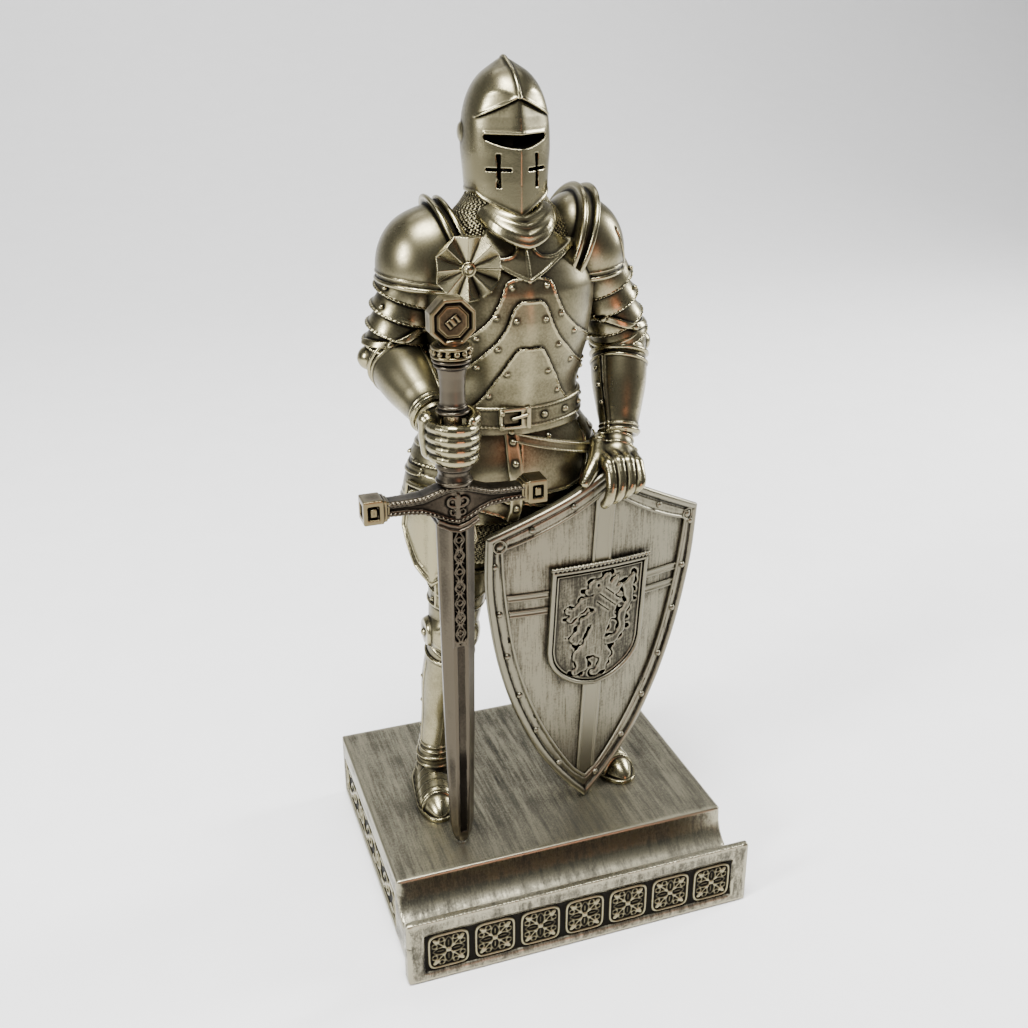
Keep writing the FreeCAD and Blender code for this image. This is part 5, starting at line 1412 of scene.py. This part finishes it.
def beast_on(u, v):
    """Signed distance to the rampant beast, its edge a little ragged."""
    beast = np.full(np.broadcast(u, v).shape, AWAY, F)
    for (x0, y0), (x1, y1), r0, r1 in BEAST:
        dx, dy = x1 - x0, y1 - y0
        t = np.clip(((u - x0) * dx + (v - y0) * dy) / (dx * dx + dy * dy), 0, 1)
        beast = smin(beast, np.hypot(u - x0 - t * dx, v - y0 - t * dy) - r0 - (r1 - r0) * t, 0.35)
    return beast - (0.65 + 0.3 * np.sin(1.7 * u + 0.6 * v) * np.sin(1.3 * v - 0.4 * u))


def shield_badge():
    """The small inner shield: a beaded edge, and the beast standing out of a dark ditch."""
    c, u, w, v = sheet_of((-20, 41), (20, 90), 5)
    flat_u, flat_v = u[:, 0, :], v[0, :, :]
    badge = outlined(u, v, BADGE)
    body = smax(badge, smax(-1.35 - w, w, 0.2), 0.3)
    body = smin(body, np.hypot(badge + 0.8, w + 1.4) - 0.8, 0.15)
    beat = 0.5 + 0.14 * np.sin(u * math.tau / 1.5)
    rope = most(np.hypot(v - 87.4, w + 1.5) - beat - 0.2, np.abs(u) - 18.3)
    body = least(body, rope, np.hypot(badge + 2.3, w + 1.35) - 0.28)
    beast = beast_on(flat_u, flat_v)[:, None, :]
    wander = 0.5 + 1.1 * np.sin(0.9 * flat_u + 1.1 * flat_v) * np.sin(0.8 * flat_v - 0.6 * flat_u)
    around = beast - wander[:, None, :]
    moat = smax(most(around, -beast), w + 0.45, 0.1)
    body = most(body, -most(moat, badge + 1.9))
    body = least(body, smax(smax(beast, -1.75 - w, 0.5), w, 0.1))
    eye = np.sqrt((u + 1.0) ** 2 + (v - 79.9) ** 2 + (w + 1.8) ** 2) - 0.55
    folds = np.abs((v + 0.8 * u) % 3.4 - 1.7) - 0.15
    mane = most(folds, np.hypot(u - 3.0, v - 74.5) - 4.3, -1.6 - w)
    c.d[:] = most(body, -eye, -most(mane, beast + 0.6), w)
    ditch = most(around, -beast - 0.1)[:, 0, :]

    def shade(p, wear_and_shade):
        i = np.clip(np.round((p[:, 0] - c.low[0]) * c.fine).astype(int), 0, ditch.shape[0] - 1)
        j = np.clip(np.round((p[:, 2] - c.low[2]) * c.fine).astype(int), 0, ditch.shape[1] - 1)
        return np.where((ditch[i, j] < 0) & (p[:, 1] > -1.2), 0.95, wear_and_shade)

    cast(c, "shield_inner", "shield_badge", SHIELD, bend=bowed, reach=0.6, shade=shade)


# ---------------------------------------------------------------- sword and pen

GUARD_Z, POMMEL_Z = 145.6, 197.0


def blade(axis):
    """The hollow blade: bevelled edges, a fuller, and an etched strip under the guard."""
    ax, ay = axis
    c, x, y, z = clay_of((ax - 7, ay - 6, 24), (ax + 7, ay + 6, 139), 5)
    x, y = x - ax, y - ay
    wide = np.interp(z, [25.1, 26.2, 28.2, 33, 65, 138], [1.2, 2.2, 3.1, 3.9, 4.7, 5.7]).astype(F)
    thick = np.interp(z, [25.1, 26.2, 28.2, 33, 65, 138], [1.1, 1.8, 2.3, 2.7, 3.3, 3.9]).astype(F)
    slope = (thick - 0.7) / (wide * 0.55)
    bevel = (np.abs(y) - thick + slope * most(np.abs(x) - wide * 0.45, 0)) / np.sqrt(1 + slope ** 2)
    c.d[:] = smax(smax(bevel, np.abs(x) - wide, 0.3), most(25.1 - z, z - 138.2), 0.2)
    face = np.abs(y) - thick
    fuller = smax(smax(np.abs(x) - 1.15, -0.35 - face, 0.5), most(z - 99, 30 - z), 0.3)
    c.keep(-fuller)
    strip = smax(np.abs(x) - 2.0, most(99.5 + 1.2 * np.abs(x) - z, z - 137), 0.2)
    c.keep(-most(strip, -0.55 - face))
    t = (z - 101.0) / 5.1
    n = np.floor(t)
    q = (t - n) * 5.1 - 2.55
    vine = np.abs(np.abs(x) - 0.95 - 0.55 * np.cos(q * math.pi / 2.55)) - 0.26
    ring = np.abs(np.hypot(x, q) - 0.85) - 0.24
    leaf = np.abs(np.abs(x) - np.abs(np.abs(q) - 1.25) * 0.9 - 0.15) - 0.22
    pip = np.hypot(x, np.abs(q) - 2.1) - 0.42
    motif = np.where(n % 2 == 0, least(vine, ring), least(leaf, vine, pip))
    c.join(most(motif, strip + 0.1, np.abs(face + 0.35) - 0.42))
    borders = most(np.hypot(np.abs(x) - 2.15, face) - 0.28, most(99 - z, z - 137.5))
    c.join(borders)
    c.hole(axis, 61, 142, 2.6)

    def shade(p, wear_and_shade):
        channel = (np.abs(p[:, 0] - ax) < 1.15) & (p[:, 2] < 99) & (p[:, 2] > 30)
        return np.where(channel, most(wear_and_shade, 0.575), wear_and_shade)

    cast(c, "blade", "blade_sheath", BRONZE, reach=0.6, shade=shade)


def guard(axis):
    """The cross guard: a swelling boss with a milled border and a three-leaved flower, square caps."""
    ax, ay = axis
    c, x, y, z = clay_of((ax - 22, ay - 6, 136), (ax + 22, ay + 6, 153), 5)
    s = np.abs(x - ax)
    top = np.interp(s, [0, 3, 6.5, 10, 14, 21], [5.1, 4.9, 3.7, 2.6, 2.3, 2.2]).astype(F)
    low = np.interp(s, [0, 2.6, 6.2, 10, 14, 21], [6.9, 6.2, 4.3, 2.8, 2.4, 2.3]).astype(F)
    deep = np.interp(s, [0, 7, 21], [3.4, 3.1, 2.5]).astype(F)
    up = z - GUARD_Z
    side = np.where(up > 0, up - top, -up - low) * 0.93
    c.d[:] = smax(smax(side, np.abs(y - ay) - deep, 0.9), s - 20.6, 0.2)
    face = np.abs(y - ay) - deep
    beat = 0.42 + 0.12 * np.sin(s * math.tau / 1.25)
    c.join(np.hypot(side + 0.75, face) - beat, 0.08)
    c.keep(-most(side + 1.7, most(-0.35 - face, face - 1)))
    q, p = up + 0.6, s
    petal = np.hypot(p / 0.95, (q - 1.1) / 2.4) - 1
    wing = np.abs(np.hypot(p - 1.7, q - 0.8) - 1.25) - 0.42
    wing = most(wing, -(p + 0.6 * (q - 0.8) - 0.7))
    bar = most(np.abs(q + 0.7) - 0.4, p - 2.0)
    stem = least(most(p - 0.45, np.abs(q + 2.2) - 1.2), np.hypot(p, q + 3.6) - 0.85)
    tail = np.abs(np.hypot(p - 1.3, q + 2.2) - 0.9) - 0.3
    flower = least(petal, wing, bar, stem, most(tail, q + 1.4))
    c.join(smax(most(flower, side + 1.2), np.abs(face + 0.1) - 0.45, 0.3))
    c.hole(axis, 130, 160, 2.75)
    cast(c, "guard", "cross_guard", BRONZE, reach=0.6)

    c = Clay((ax - 29, ay - 5, 139), (ax + 29, ay + 5, 152), 5)
    for side in (-1, 1):
        cx = ax + side * 24.1
        c.add(block((cx, ay, GUARD_Z), (2.9, 3.5, 3.6), 0.45))
        c.add(block((ax + side * 21.2, ay, GUARD_Z), (1.0, 3.1, 3.1), 0.3), 0.25)
        c.add(block((ax + side * 20.2, ay, GUARD_Z), (0.8, 2.7, 2.6), 0.3), 0.2)
        for face_y in (ay - 3.6, ay + 3.6):
            c.cut(block((cx, face_y, GUARD_Z), (1.7, 0.8, 2.0), 0.25))
        c.cut(block((ax + side * 27.1, ay, GUARD_Z), (0.6, 1.9, 2.0), 0.2))
        c.add(block((cx, ay - 3.0, GUARD_Z), (0.9, 0.45, 1.2), 0.2), 0.1)
    cast(c, "guard_end_caps", "guard_caps", FITTING, reach=0.6)


def turned(name, node, axis, profile, look, body, bore=None, more=None):
    """A round fitting about the sword's axis from (height, radius) pairs."""
    ax, ay = axis
    z0, z1 = profile[0][0], profile[-1][0]
    r = max(p[1] for p in profile) + 1.5
    c, x, y, z = clay_of((ax - r, ay - r, z0 - 1), (ax + r, ay + r, z1 + 1), 5)
    hs, rs = [p[0] for p in profile], [p[1] for p in profile]
    wide = np.interp(z, hs, rs).astype(F)
    c.d[:] = smax((np.hypot(x - ax, y - ay) - wide) * 0.9, np.abs(z - (z0 + z1) / 2) - (z1 - z0) / 2, 0.25)
    if more:
        c.d[:] = more(c.d, x - ax, y - ay, z)
    if bore:
        c.hole(axis, z0 - 2, z1 + 2, bore)
    cast(c, name, node, look, body, reach=0.6)


def fittings(axis):
    """The locket and ring that stay with the figure, and the pen's waisted grip and beaded collar."""
    def locket(d, x, y, z):
        flat = smax(np.abs(x) - 6.0, np.abs(y) - 4.3 + 0.05 * np.abs(x) ** 1.4, 0.4)
        up = z - 137.7 - np.interp(np.abs(x), [0, 2.6, 6.2], [0, 0.7, 2.6])
        d = smax(flat, np.abs(up) - 1.1, 0.3)
        return smin(d, np.hypot(flat, up + 0.7) - 0.45, 0.2)

    turned("blade_collar", "blade_locket", axis, [(136, 7), (142, 7)], BRONZE, "figure", 2.75, locket)
    turned("hilt_base_ring", "hilt_ring", axis, [(150.7, 5.2), (151.6, 5.4), (152.0, 4.9), (153.6, 4.5),
                                                 (155.0, 4.8), (155.4, 5.3), (156.8, 5.1)],
           BRONZE, "figure", 2.75)

    def waist(d, x, y, z):
        for z0, r, size in ((171.9, 4.25, 0.55), (173.3, 3.9, 0.35), (184.9, 4.7, 0.4), (186.3, 5.0, 0.5)):
            d = smin(d, np.hypot(z - z0, np.hypot(x, y) - r) - size, 0.15)
        return d

    turned("grip", "pen_grip", axis, [(171, 4.2), (172.6, 4.0), (174.5, 3.65), (178, 3.55), (181.5, 3.75),
                                      (184, 4.2), (187, 4.9)],
           BRONZE, "pen_handle", 2.55, waist)

    def beads(d, x, y, z):
        r = np.hypot(x, y)
        for z0 in (187.5, 190.0):
            d = smin(d, np.hypot(z - z0, r - 5.25) - 0.5, 0.15)
        turn = np.arctan2(y, x)
        w = (turn / (math.tau / 14)) % 1.0 - 0.5
        ball = np.sqrt((w * math.tau / 14 * 5.1) ** 2 + (r - 5.1) ** 2 + (z - 188.75) ** 2) - 0.88
        return least(d, ball)

    turned("beaded_ring", "beaded_collar", axis, [(187, 5.3), (187.8, 5.2), (188.2, 4.7), (189.4, 4.7),
                                                  (189.8, 5.2), (190.5, 4.6)],
           FITTING, "pen_handle", None, beads)


def octagon(x, q):
    """Distance from the middle towards the nearest of eight flats."""
    wedge = (np.arctan2(q, x) + math.pi / 8) % (math.pi / 4) - math.pi / 8
    return np.hypot(x, q) * np.cos(wedge)


def pommel(axis):
    """The eight-sided pommel with its stepped rim, and the emblem set into both faces."""
    ax, ay = axis
    c, x, y, z = clay_of((ax - 9, ay - 4, 188), (ax + 9, ay + 4, 206), 5)
    x, y, q = x - ax, y - ay, z - POMMEL_Z
    flat = octagon(x, q) - 6.4
    d = smax(flat, np.abs(y) - 2.5, 0.5)
    rim = most(np.abs(flat + 0.7) - 0.45, np.abs(y) - 3.0)
    d = smin(d, rim, 0.2)
    d = most(d, -most(np.abs(flat + 1.7) - 0.35, 2.1 - np.abs(y)))
    neck_ = most(np.hypot(x, y) - 3.4 + 0.2 * (z - 190.4), np.abs(z - 191.2) - 0.9)
    c.d[:] = most(smin(d, neck_, 0.4), -most(flat + 2.3, 2.0 - np.abs(y)))
    cast(c, "pommel_head", "pommel", FITTING, "pen_handle", reach=0.6)

    c, x, y, z = clay_of((ax - 7, ay - 4, 191), (ax + 7, ay + 4, 203), 5)
    x, y, q = x - ax, y - ay, z - POMMEL_Z
    sunk = smax(octagon(x, q) - 4.05, np.abs(np.abs(y) - 1.7) - 0.5, 0.15)
    bend, rise = x * 0.8 + q * 0.6, q * 0.8 - x * 0.6
    mount = smax(most(np.abs(bend) - 1.9, np.abs(rise) - 1.2), np.abs(np.abs(y) - 2.2) - 0.55, 0.3)
    groove = np.hypot(np.abs(bend) - 0.8, np.abs(y) - 2.75) - 0.3
    c.d[:] = most(least(sunk, mount), -groove)
    cast(c, "pommel_emblems", "pommel_insets", FITTING, "pen_handle", reach=0.5)


def rondel():
    """The armpit disc: eight flats, sixteen pleats and a small dome."""
    centre = np.array([-21.8, -15.4, 207.3])
    a = math.radians(-8)
    rows = np.array([(math.cos(a), math.sin(a), 0), (math.sin(a), -math.cos(a), 0), (0, 0, 1)])
    c, *xyz = clay_of(centre - (11, 5, 11), centre + (11, 5, 11), 5)
    s, out, t = along_rows(rows, centre, *xyz)
    r, turn = np.hypot(s, t), np.arctan2(t, s)
    pleat = np.abs(turn / (math.pi / 8) % 2.0 - 1.0)
    rise = 0.1 + 0.26 * r * pleat
    c.d[:] = smax(smax(octagon(s, t) - 8.9, (out - 0.2 - rise) * 0.8, 0.1), -0.9 - out, 0.2)
    cast(c, "rondel_disc", "rondel", ARMOUR, reach=0.6)

    c, *xyz = clay_of(centre - (4, 5, 4), centre + (4, 5, 4), 5)
    s, out, t = along_rows(rows, centre, *xyz)
    r = np.hypot(s, t)
    dome = np.sqrt(r ** 2 + (out - 1.2) ** 2) - 1.5
    c.d[:] = smax(smin(dome, np.hypot(r - 1.7, out - 1.2) - 0.45, 0.15), 0.3 - out, 0.1)
    cast(c, "rondel_dome", "rondel_boss", ARMOUR, reach=0.5)


# ---------------------------------------------------------------- plinth

PANEL_Z, PANEL_HIGH, PANEL_DEEP = 10.4, 14.2, 1.3
PANEL_HALF, SIDE_PANEL_HALF, TILE_PITCH = 52.2, 38, 14.9


def tile(a, b):
    """One square ornament: rounded frame, four petals and four leaves round a boss."""
    a, b = a / 1.07, b / 1.07
    r, w = np.hypot(a, b), np.arctan2(b, a)
    frame_ = np.abs((np.abs(a) ** 6 + np.abs(b) ** 6) ** (1 / 6) - 5.75) - 0.25

    def fourfold(w):
        """Along and beside the nearest of four spokes."""
        turn = w % (math.pi / 2) - math.pi / 4
        return r * np.cos(turn), np.abs(r * np.sin(turn))

    p, q = fourfold(w + math.pi / 4)
    bulge = 1.25 * most(np.sin(np.clip(p, 0, 4.7) * math.pi / 4.7), 0) ** 0.8
    petal = most(np.abs(q - bulge) - 0.15, p - 4.7)
    vein = most(q - 0.12, np.abs(p - 2.4) - 1.1)
    p, q = fourfold(w)
    stem = most(q - 0.18, np.abs(p - 3.0) - 1.7)
    bud = np.hypot((p - 5.4) / 1.1, q / 0.6) - 1
    curl = np.abs(np.hypot(p - 4.4, q - 1.45) - 0.8) - 0.15
    lines = most(least(petal, vein, stem, bud, curl, r - 0.8), np.abs(a) - 5.0, np.abs(b) - 5.0)
    return np.clip(0.5 - least(frame_, lines) * 4, 0, 1)


def scrolls(a, b, half):
    """A running vine: a wavy stem with a curl in each bay, and small leaves."""
    pitch = 12.6
    n = np.round(a / pitch)
    x, side = a - n * pitch, np.where(n % 2 == 0, 1.0, -1.0)
    stem = np.abs(b - 3.6 * np.sin(a * math.pi / pitch)) - 0.55
    y = b * side + 0.6
    r, w = np.hypot(x, y), np.arctan2(y, x)
    spiral = np.abs((r - 0.55 * (w + math.pi) / 1.3 + 6.0) % 3.1 - 1.55) - 0.5
    leaf = np.hypot((np.abs(x) - 5.2) / 1.5, (np.abs(b) - 4.4) / 0.8) - 1
    high = most(np.where((spiral < 0) & (r < 4.7), 0.85, 0.0), np.where(stem < 0, 0.9, 0.0),
                np.where(leaf < 0, 0.8, 0.0), np.where(r < 1.0, 1.0, 0.0))
    frame_ = (np.abs(np.abs(b) - 6.1) < 0.35) | (np.abs(np.abs(a) - half + 0.9) < 0.4)
    return np.where(np.abs(a) < half - 0.4, np.where(frame_, 1.0, high), 0.0)


def soften(h):
    """Rounds a height map's steps."""
    for axis in (0, 1, 0, 1):
        h = (np.roll(h, 1, axis) + 2 * h + np.roll(h, -1, axis)) / 4
    return h


def plaque(name, place, across, long, pattern, high=PANEL_HIGH):
    """A slab of relief set in a sunk panel: place is its middle on the panel's floor."""
    fine = 5
    a = (np.arange(int(long * fine) + 1) / fine - long / 2).astype(F)
    b = (np.arange(int(high * fine) + 1) / fine - high / 2).astype(F)
    h = soften(pattern(a[:, None], b[None, :]).astype(F))
    c, x, y, z = clay_of((-long / 2 - 1, -high / 2 - 1, -2), (long / 2 + 1, high / 2 + 1, 2), fine)
    full = np.zeros((c.size[0], c.size[1]), F)
    i0 = int(round((a[0] - c.low[0]) * fine))
    j0 = int(round((b[0] - c.low[1]) * fine))
    full[i0:i0 + len(a), j0:j0 + len(b)] = h
    top = (z - 0.45 - 0.75 * full[:, :, None]) * 0.7
    inside_ = most(np.abs(x) - long / 2 + 0.12, np.abs(y) - high / 2 + 0.12)
    c.d[:] = most(top, -0.02 - z, inside_)
    across, up = np.array(across, float), np.array((0, 0, 1.0))
    out = np.cross(across, up)

    def seat(p):
        return np.array(place) + p[:, :1] * across + p[:, 1:2] * up + p[:, 2:] * out

    def shade(p, wear_and_shade):
        return 0.4 * wear_and_shade + 0.6 * (0.95 - 0.85 * np.clip((p[:, 2] - 0.5) / 0.6, 0, 1))

    cast(c, name, "base_plinth", RELIEF, bend=seat, reach=0.6, shade=shade)


def plinth():
    """The plinth: block, cove, trough and lip in one section, with sunk ornament panels."""
    low, high = (corner - SHIFT for corner in corners("base_plinth"))
    wide, back, top = high[0], high[1], high[2]
    front, lip = -back, low[1]
    trough, lip_back = top - 11.9, lip + 3.4
    turn = np.linspace(0, math.pi / 2, 14)
    cove = [(front - 8.5 * (1 - math.cos(t)), top - 2.2 - 9.7 * math.sin(t)) for t in turn]
    section = [(back, low[2]), (back, top), (front, top)] + cove + [
        (lip_back + 0.6, trough), (lip_back, top - 3.2), (lip_back - 0.8, top - 2.2), (lip + 1.2, top - 2.2),
        (lip + 0.5, top - 2.8), (lip, low[2])]
    wide = wide + 1.2
    c, x, y, z = clay_of((-wide - 3, lip - 2, -1), (wide + 3, back + 2, top + 2), 3)
    flat = edge(y[0, :, :], z[0, :, :], section, 4.0)[None, :, :]
    c.d[:] = smax(flat, np.abs(x) - wide - 1.5 * (y < lip + 4.6), 0.7)
    beat = 0.3 + 0.12 * np.sin(x * math.tau / 1.4)
    for y0, z0 in ((front + 0.3, top - 0.4), (lip + 0.75, top - 2.5)):
        c.join(most(np.hypot(y - y0, z - z0) - beat, np.abs(x) - wide + 0.6))

    def sunk(half, spot, axis):
        depth = np.abs((y if axis == 1 else x) - spot) - PANEL_DEEP
        along = np.abs(x if axis == 1 else y) - half
        c.keep(-most(depth, along, np.abs(z - PANEL_Z) - PANEL_HIGH / 2))

    sunk(PANEL_HALF, lip, 1)
    sunk(PANEL_HALF, back, 1)
    sunk(SIDE_PANEL_HALF, wide, 0)
    sunk(SIDE_PANEL_HALF, -wide, 0)
    c.keep(-most(np.abs(x) - 50.2, np.abs(y) - 36.9, z - 1.25))
    c.keep(-most(np.hypot(x + 31, y + 29) - 1.25, 19.5 - z))
    cast(c, "plinth", "base_plinth", BASE, flat=0.35)

    def tiles(a, b):
        n = np.clip(np.round(a / TILE_PITCH), -3, 3)
        return tile(a - n * TILE_PITCH, b)

    def vine(a, b):
        return scrolls(a, b, SIDE_PANEL_HALF)

    def long_vine(a, b):
        return scrolls(a, b, PANEL_HALF)

    def on(x, y):
        return x, y, PANEL_Z

    plaque("tiles_front", on(0, lip + PANEL_DEEP), (1, 0, 0), 2 * PANEL_HALF, tiles)
    plaque("scrolls_back", on(0, back - PANEL_DEEP), (-1, 0, 0), 2 * PANEL_HALF, long_vine)
    plaque("scrolls_right", on(PANEL_DEEP - wide, 0), (0, -1, 0), 2 * SIDE_PANEL_HALF, vine)
    plaque("scrolls_left", on(wide - PANEL_DEEP, 0), (0, 1, 0), 2 * SIDE_PANEL_HALF, vine)


# ---------------------------------------------------------------- build the pieces

RELIEF = plated("plated_relief", BRIGHT, MID, (0.010, 0.009, 0.007), 0.36, recess=2.6, bias=0.06, painted_shade_gain=0.3,
                slot="plated_base")
SWORD = (middle("pen_barrel") - SHIFT)[:2]

plinth()
shield_face()
shield_rim()
shield_studs()
shield_cross()
shield_badge()
helmet()
neck()
breastplate()
fauld()
mail_skirt()
belt()
buckle()
long_strap()
slung_belt()
tasset("right", -19, -45, (-43, -21, 107), (-14, 9, 143))
tasset("left", 9, 60, (8, -20, 107), (33, 14, 143))
for which in ("right", "left"):
    pauldron(which)
    upper_arm(which)
    elbow(which)
    forearm(which)
    cuisse(which)
    knee(which)
    greave(which)
    sabaton(which)
right_hand(SWORD)
left_hand()
blade(SWORD)
guard(SWORD)
fittings(SWORD)
pommel(SWORD)
rondel()

# ---------------------------------------------------------------- painted shade: how hidden each point is among the parts

hollow = blur(blur(CAVE.astype(F), 2), 1)
for piece in PIECES:
    me = piece.data
    at = np.zeros(len(me.vertices) * 3, F)
    me.vertices.foreach_get("co", at)
    # deep is painted shade: points closed in by the figure's metal get darker.
    deep = sample(hollow, CAVE_LOW.astype(float), 1.0, at.reshape(-1, 3) / MM - SHIFT)
    me.attributes.new("deep", "FLOAT", "POINT").data.foreach_set("value", deep.astype(F))


# ---------------------------------------------------------------- CAD pieces shown as they are

for node, look in {"base_felt": FELT, "foot_screws": STEEL, "hip_dowels": STEEL, "waist_dowel": STEEL,
                   "neck_dowel": STEEL, "shoulder_dowels": STEEL, "blade_pin": STEEL, "rondel_pin": STEEL,
                   "pen_barrel": PEN, "pen_point": TIP, "ink_refill": REFILL}.items():
    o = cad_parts[node]
    o.data.materials.clear()
    o.data.materials.append(look)
    for face in o.data.polygons:
        face.use_smooth = len(o.data.polygons) > 30
    o.data.set_sharp_from_angle(angle=math.radians(35))


# ---------------------------------------------------------------- floor, light and camera


def slab(name, places, faces):
    me = bpy.data.meshes.new(name)
    me.from_pydata(places, [], faces)
    me.update()
    o = bpy.data.objects.new(name, me)
    bpy.context.scene.collection.objects.link(o)
    return o


BEND = [(0.8 + 1.6 * math.sin(t), 1.6 - 1.6 * math.cos(t)) for t in np.linspace(0, math.pi / 2, 25)]
SWEEP = [(-3.0, 0.0), *BEND, (2.4, 4.0)]
floor = slab("floor", [(side * 5, y, z) for y, z in SWEEP for side in (-1, 1)],
             [(2 * i, 2 * i + 1, 2 * i + 3, 2 * i + 2) for i in range(len(SWEEP) - 1)])
for face in floor.data.polygons:
    face.use_smooth = True
floor.data.materials.append(plain("pale_floor", (0.90, 0.90, 0.90), 0.7, 0.0, 40.0, 0.002, 0.015))


def lamp(name, place, target, size, power, colour=(1, 1, 1)):
    light = bpy.data.lights.new(name, "AREA")
    light.shape, light.size, light.size_y = "RECTANGLE", size[0], size[1]
    light.energy, light.color = power, colour
    o = bpy.data.objects.new(name, light)
    bpy.context.scene.collection.objects.link(o)
    away = np.array(place, float) - np.array(target, float)
    x = unit(np.cross((0, 0, 1), away))
    n = unit(away)
    y = np.cross(n, x)
    o.matrix_world = Matrix([[x[i], y[i], n[i], place[i]] for i in range(3)] + [[0, 0, 0, 1]])


AIM = (0, 0, 0.14)
lamp("overhead", (-0.15, -0.30, 1.4), AIM, (0.6, 0.45), 46.0)
lamp("key", (-0.9, -0.30, 0.6), AIM, (0.2, 0.4), 15.0)
lamp("side", (0.95, 0.10, 0.5), AIM, (0.2, 0.4), 13.0)
lamp("backdrop", (0.3, 1.0, 1.9), (0.5, 2.2, 0.5), (1.6, 0.8), 26.0)
lamp("warm_low", (0.2, -0.9, 0.2), AIM, (0.3, 0.25), 1.2, (1.0, 0.36, 0.22))

world = bpy.data.worlds.new("studio")
bpy.context.scene.world = world
world.use_nodes = True
world.node_tree.nodes["Background"].inputs[0].default_value = (0.95, 0.97, 1.0, 1)
world.node_tree.nodes["Background"].inputs[1].default_value = 0.16

turn, rise = math.radians(-19.25), math.radians(23.78)
back = np.array([math.sin(turn) * math.cos(rise), -math.cos(turn) * math.cos(rise), math.sin(rise)])
right = np.array([math.cos(turn), math.sin(turn), 0])
up = np.cross(back, right)
view = bpy.data.cameras.new("camera")
view.sensor_width, view.lens, view.clip_start, view.clip_end = 36.0, 40.82, 0.01, 20.0
camera = bpy.data.objects.new("camera", view)
bpy.context.scene.collection.objects.link(camera)
eye = np.array([-0.11542, -0.32184, 0.27475])
camera.matrix_world = Matrix([[right[i], up[i], back[i], eye[i]] for i in range(3)] + [[0, 0, 0, 1]])
bpy.context.scene.camera = camera
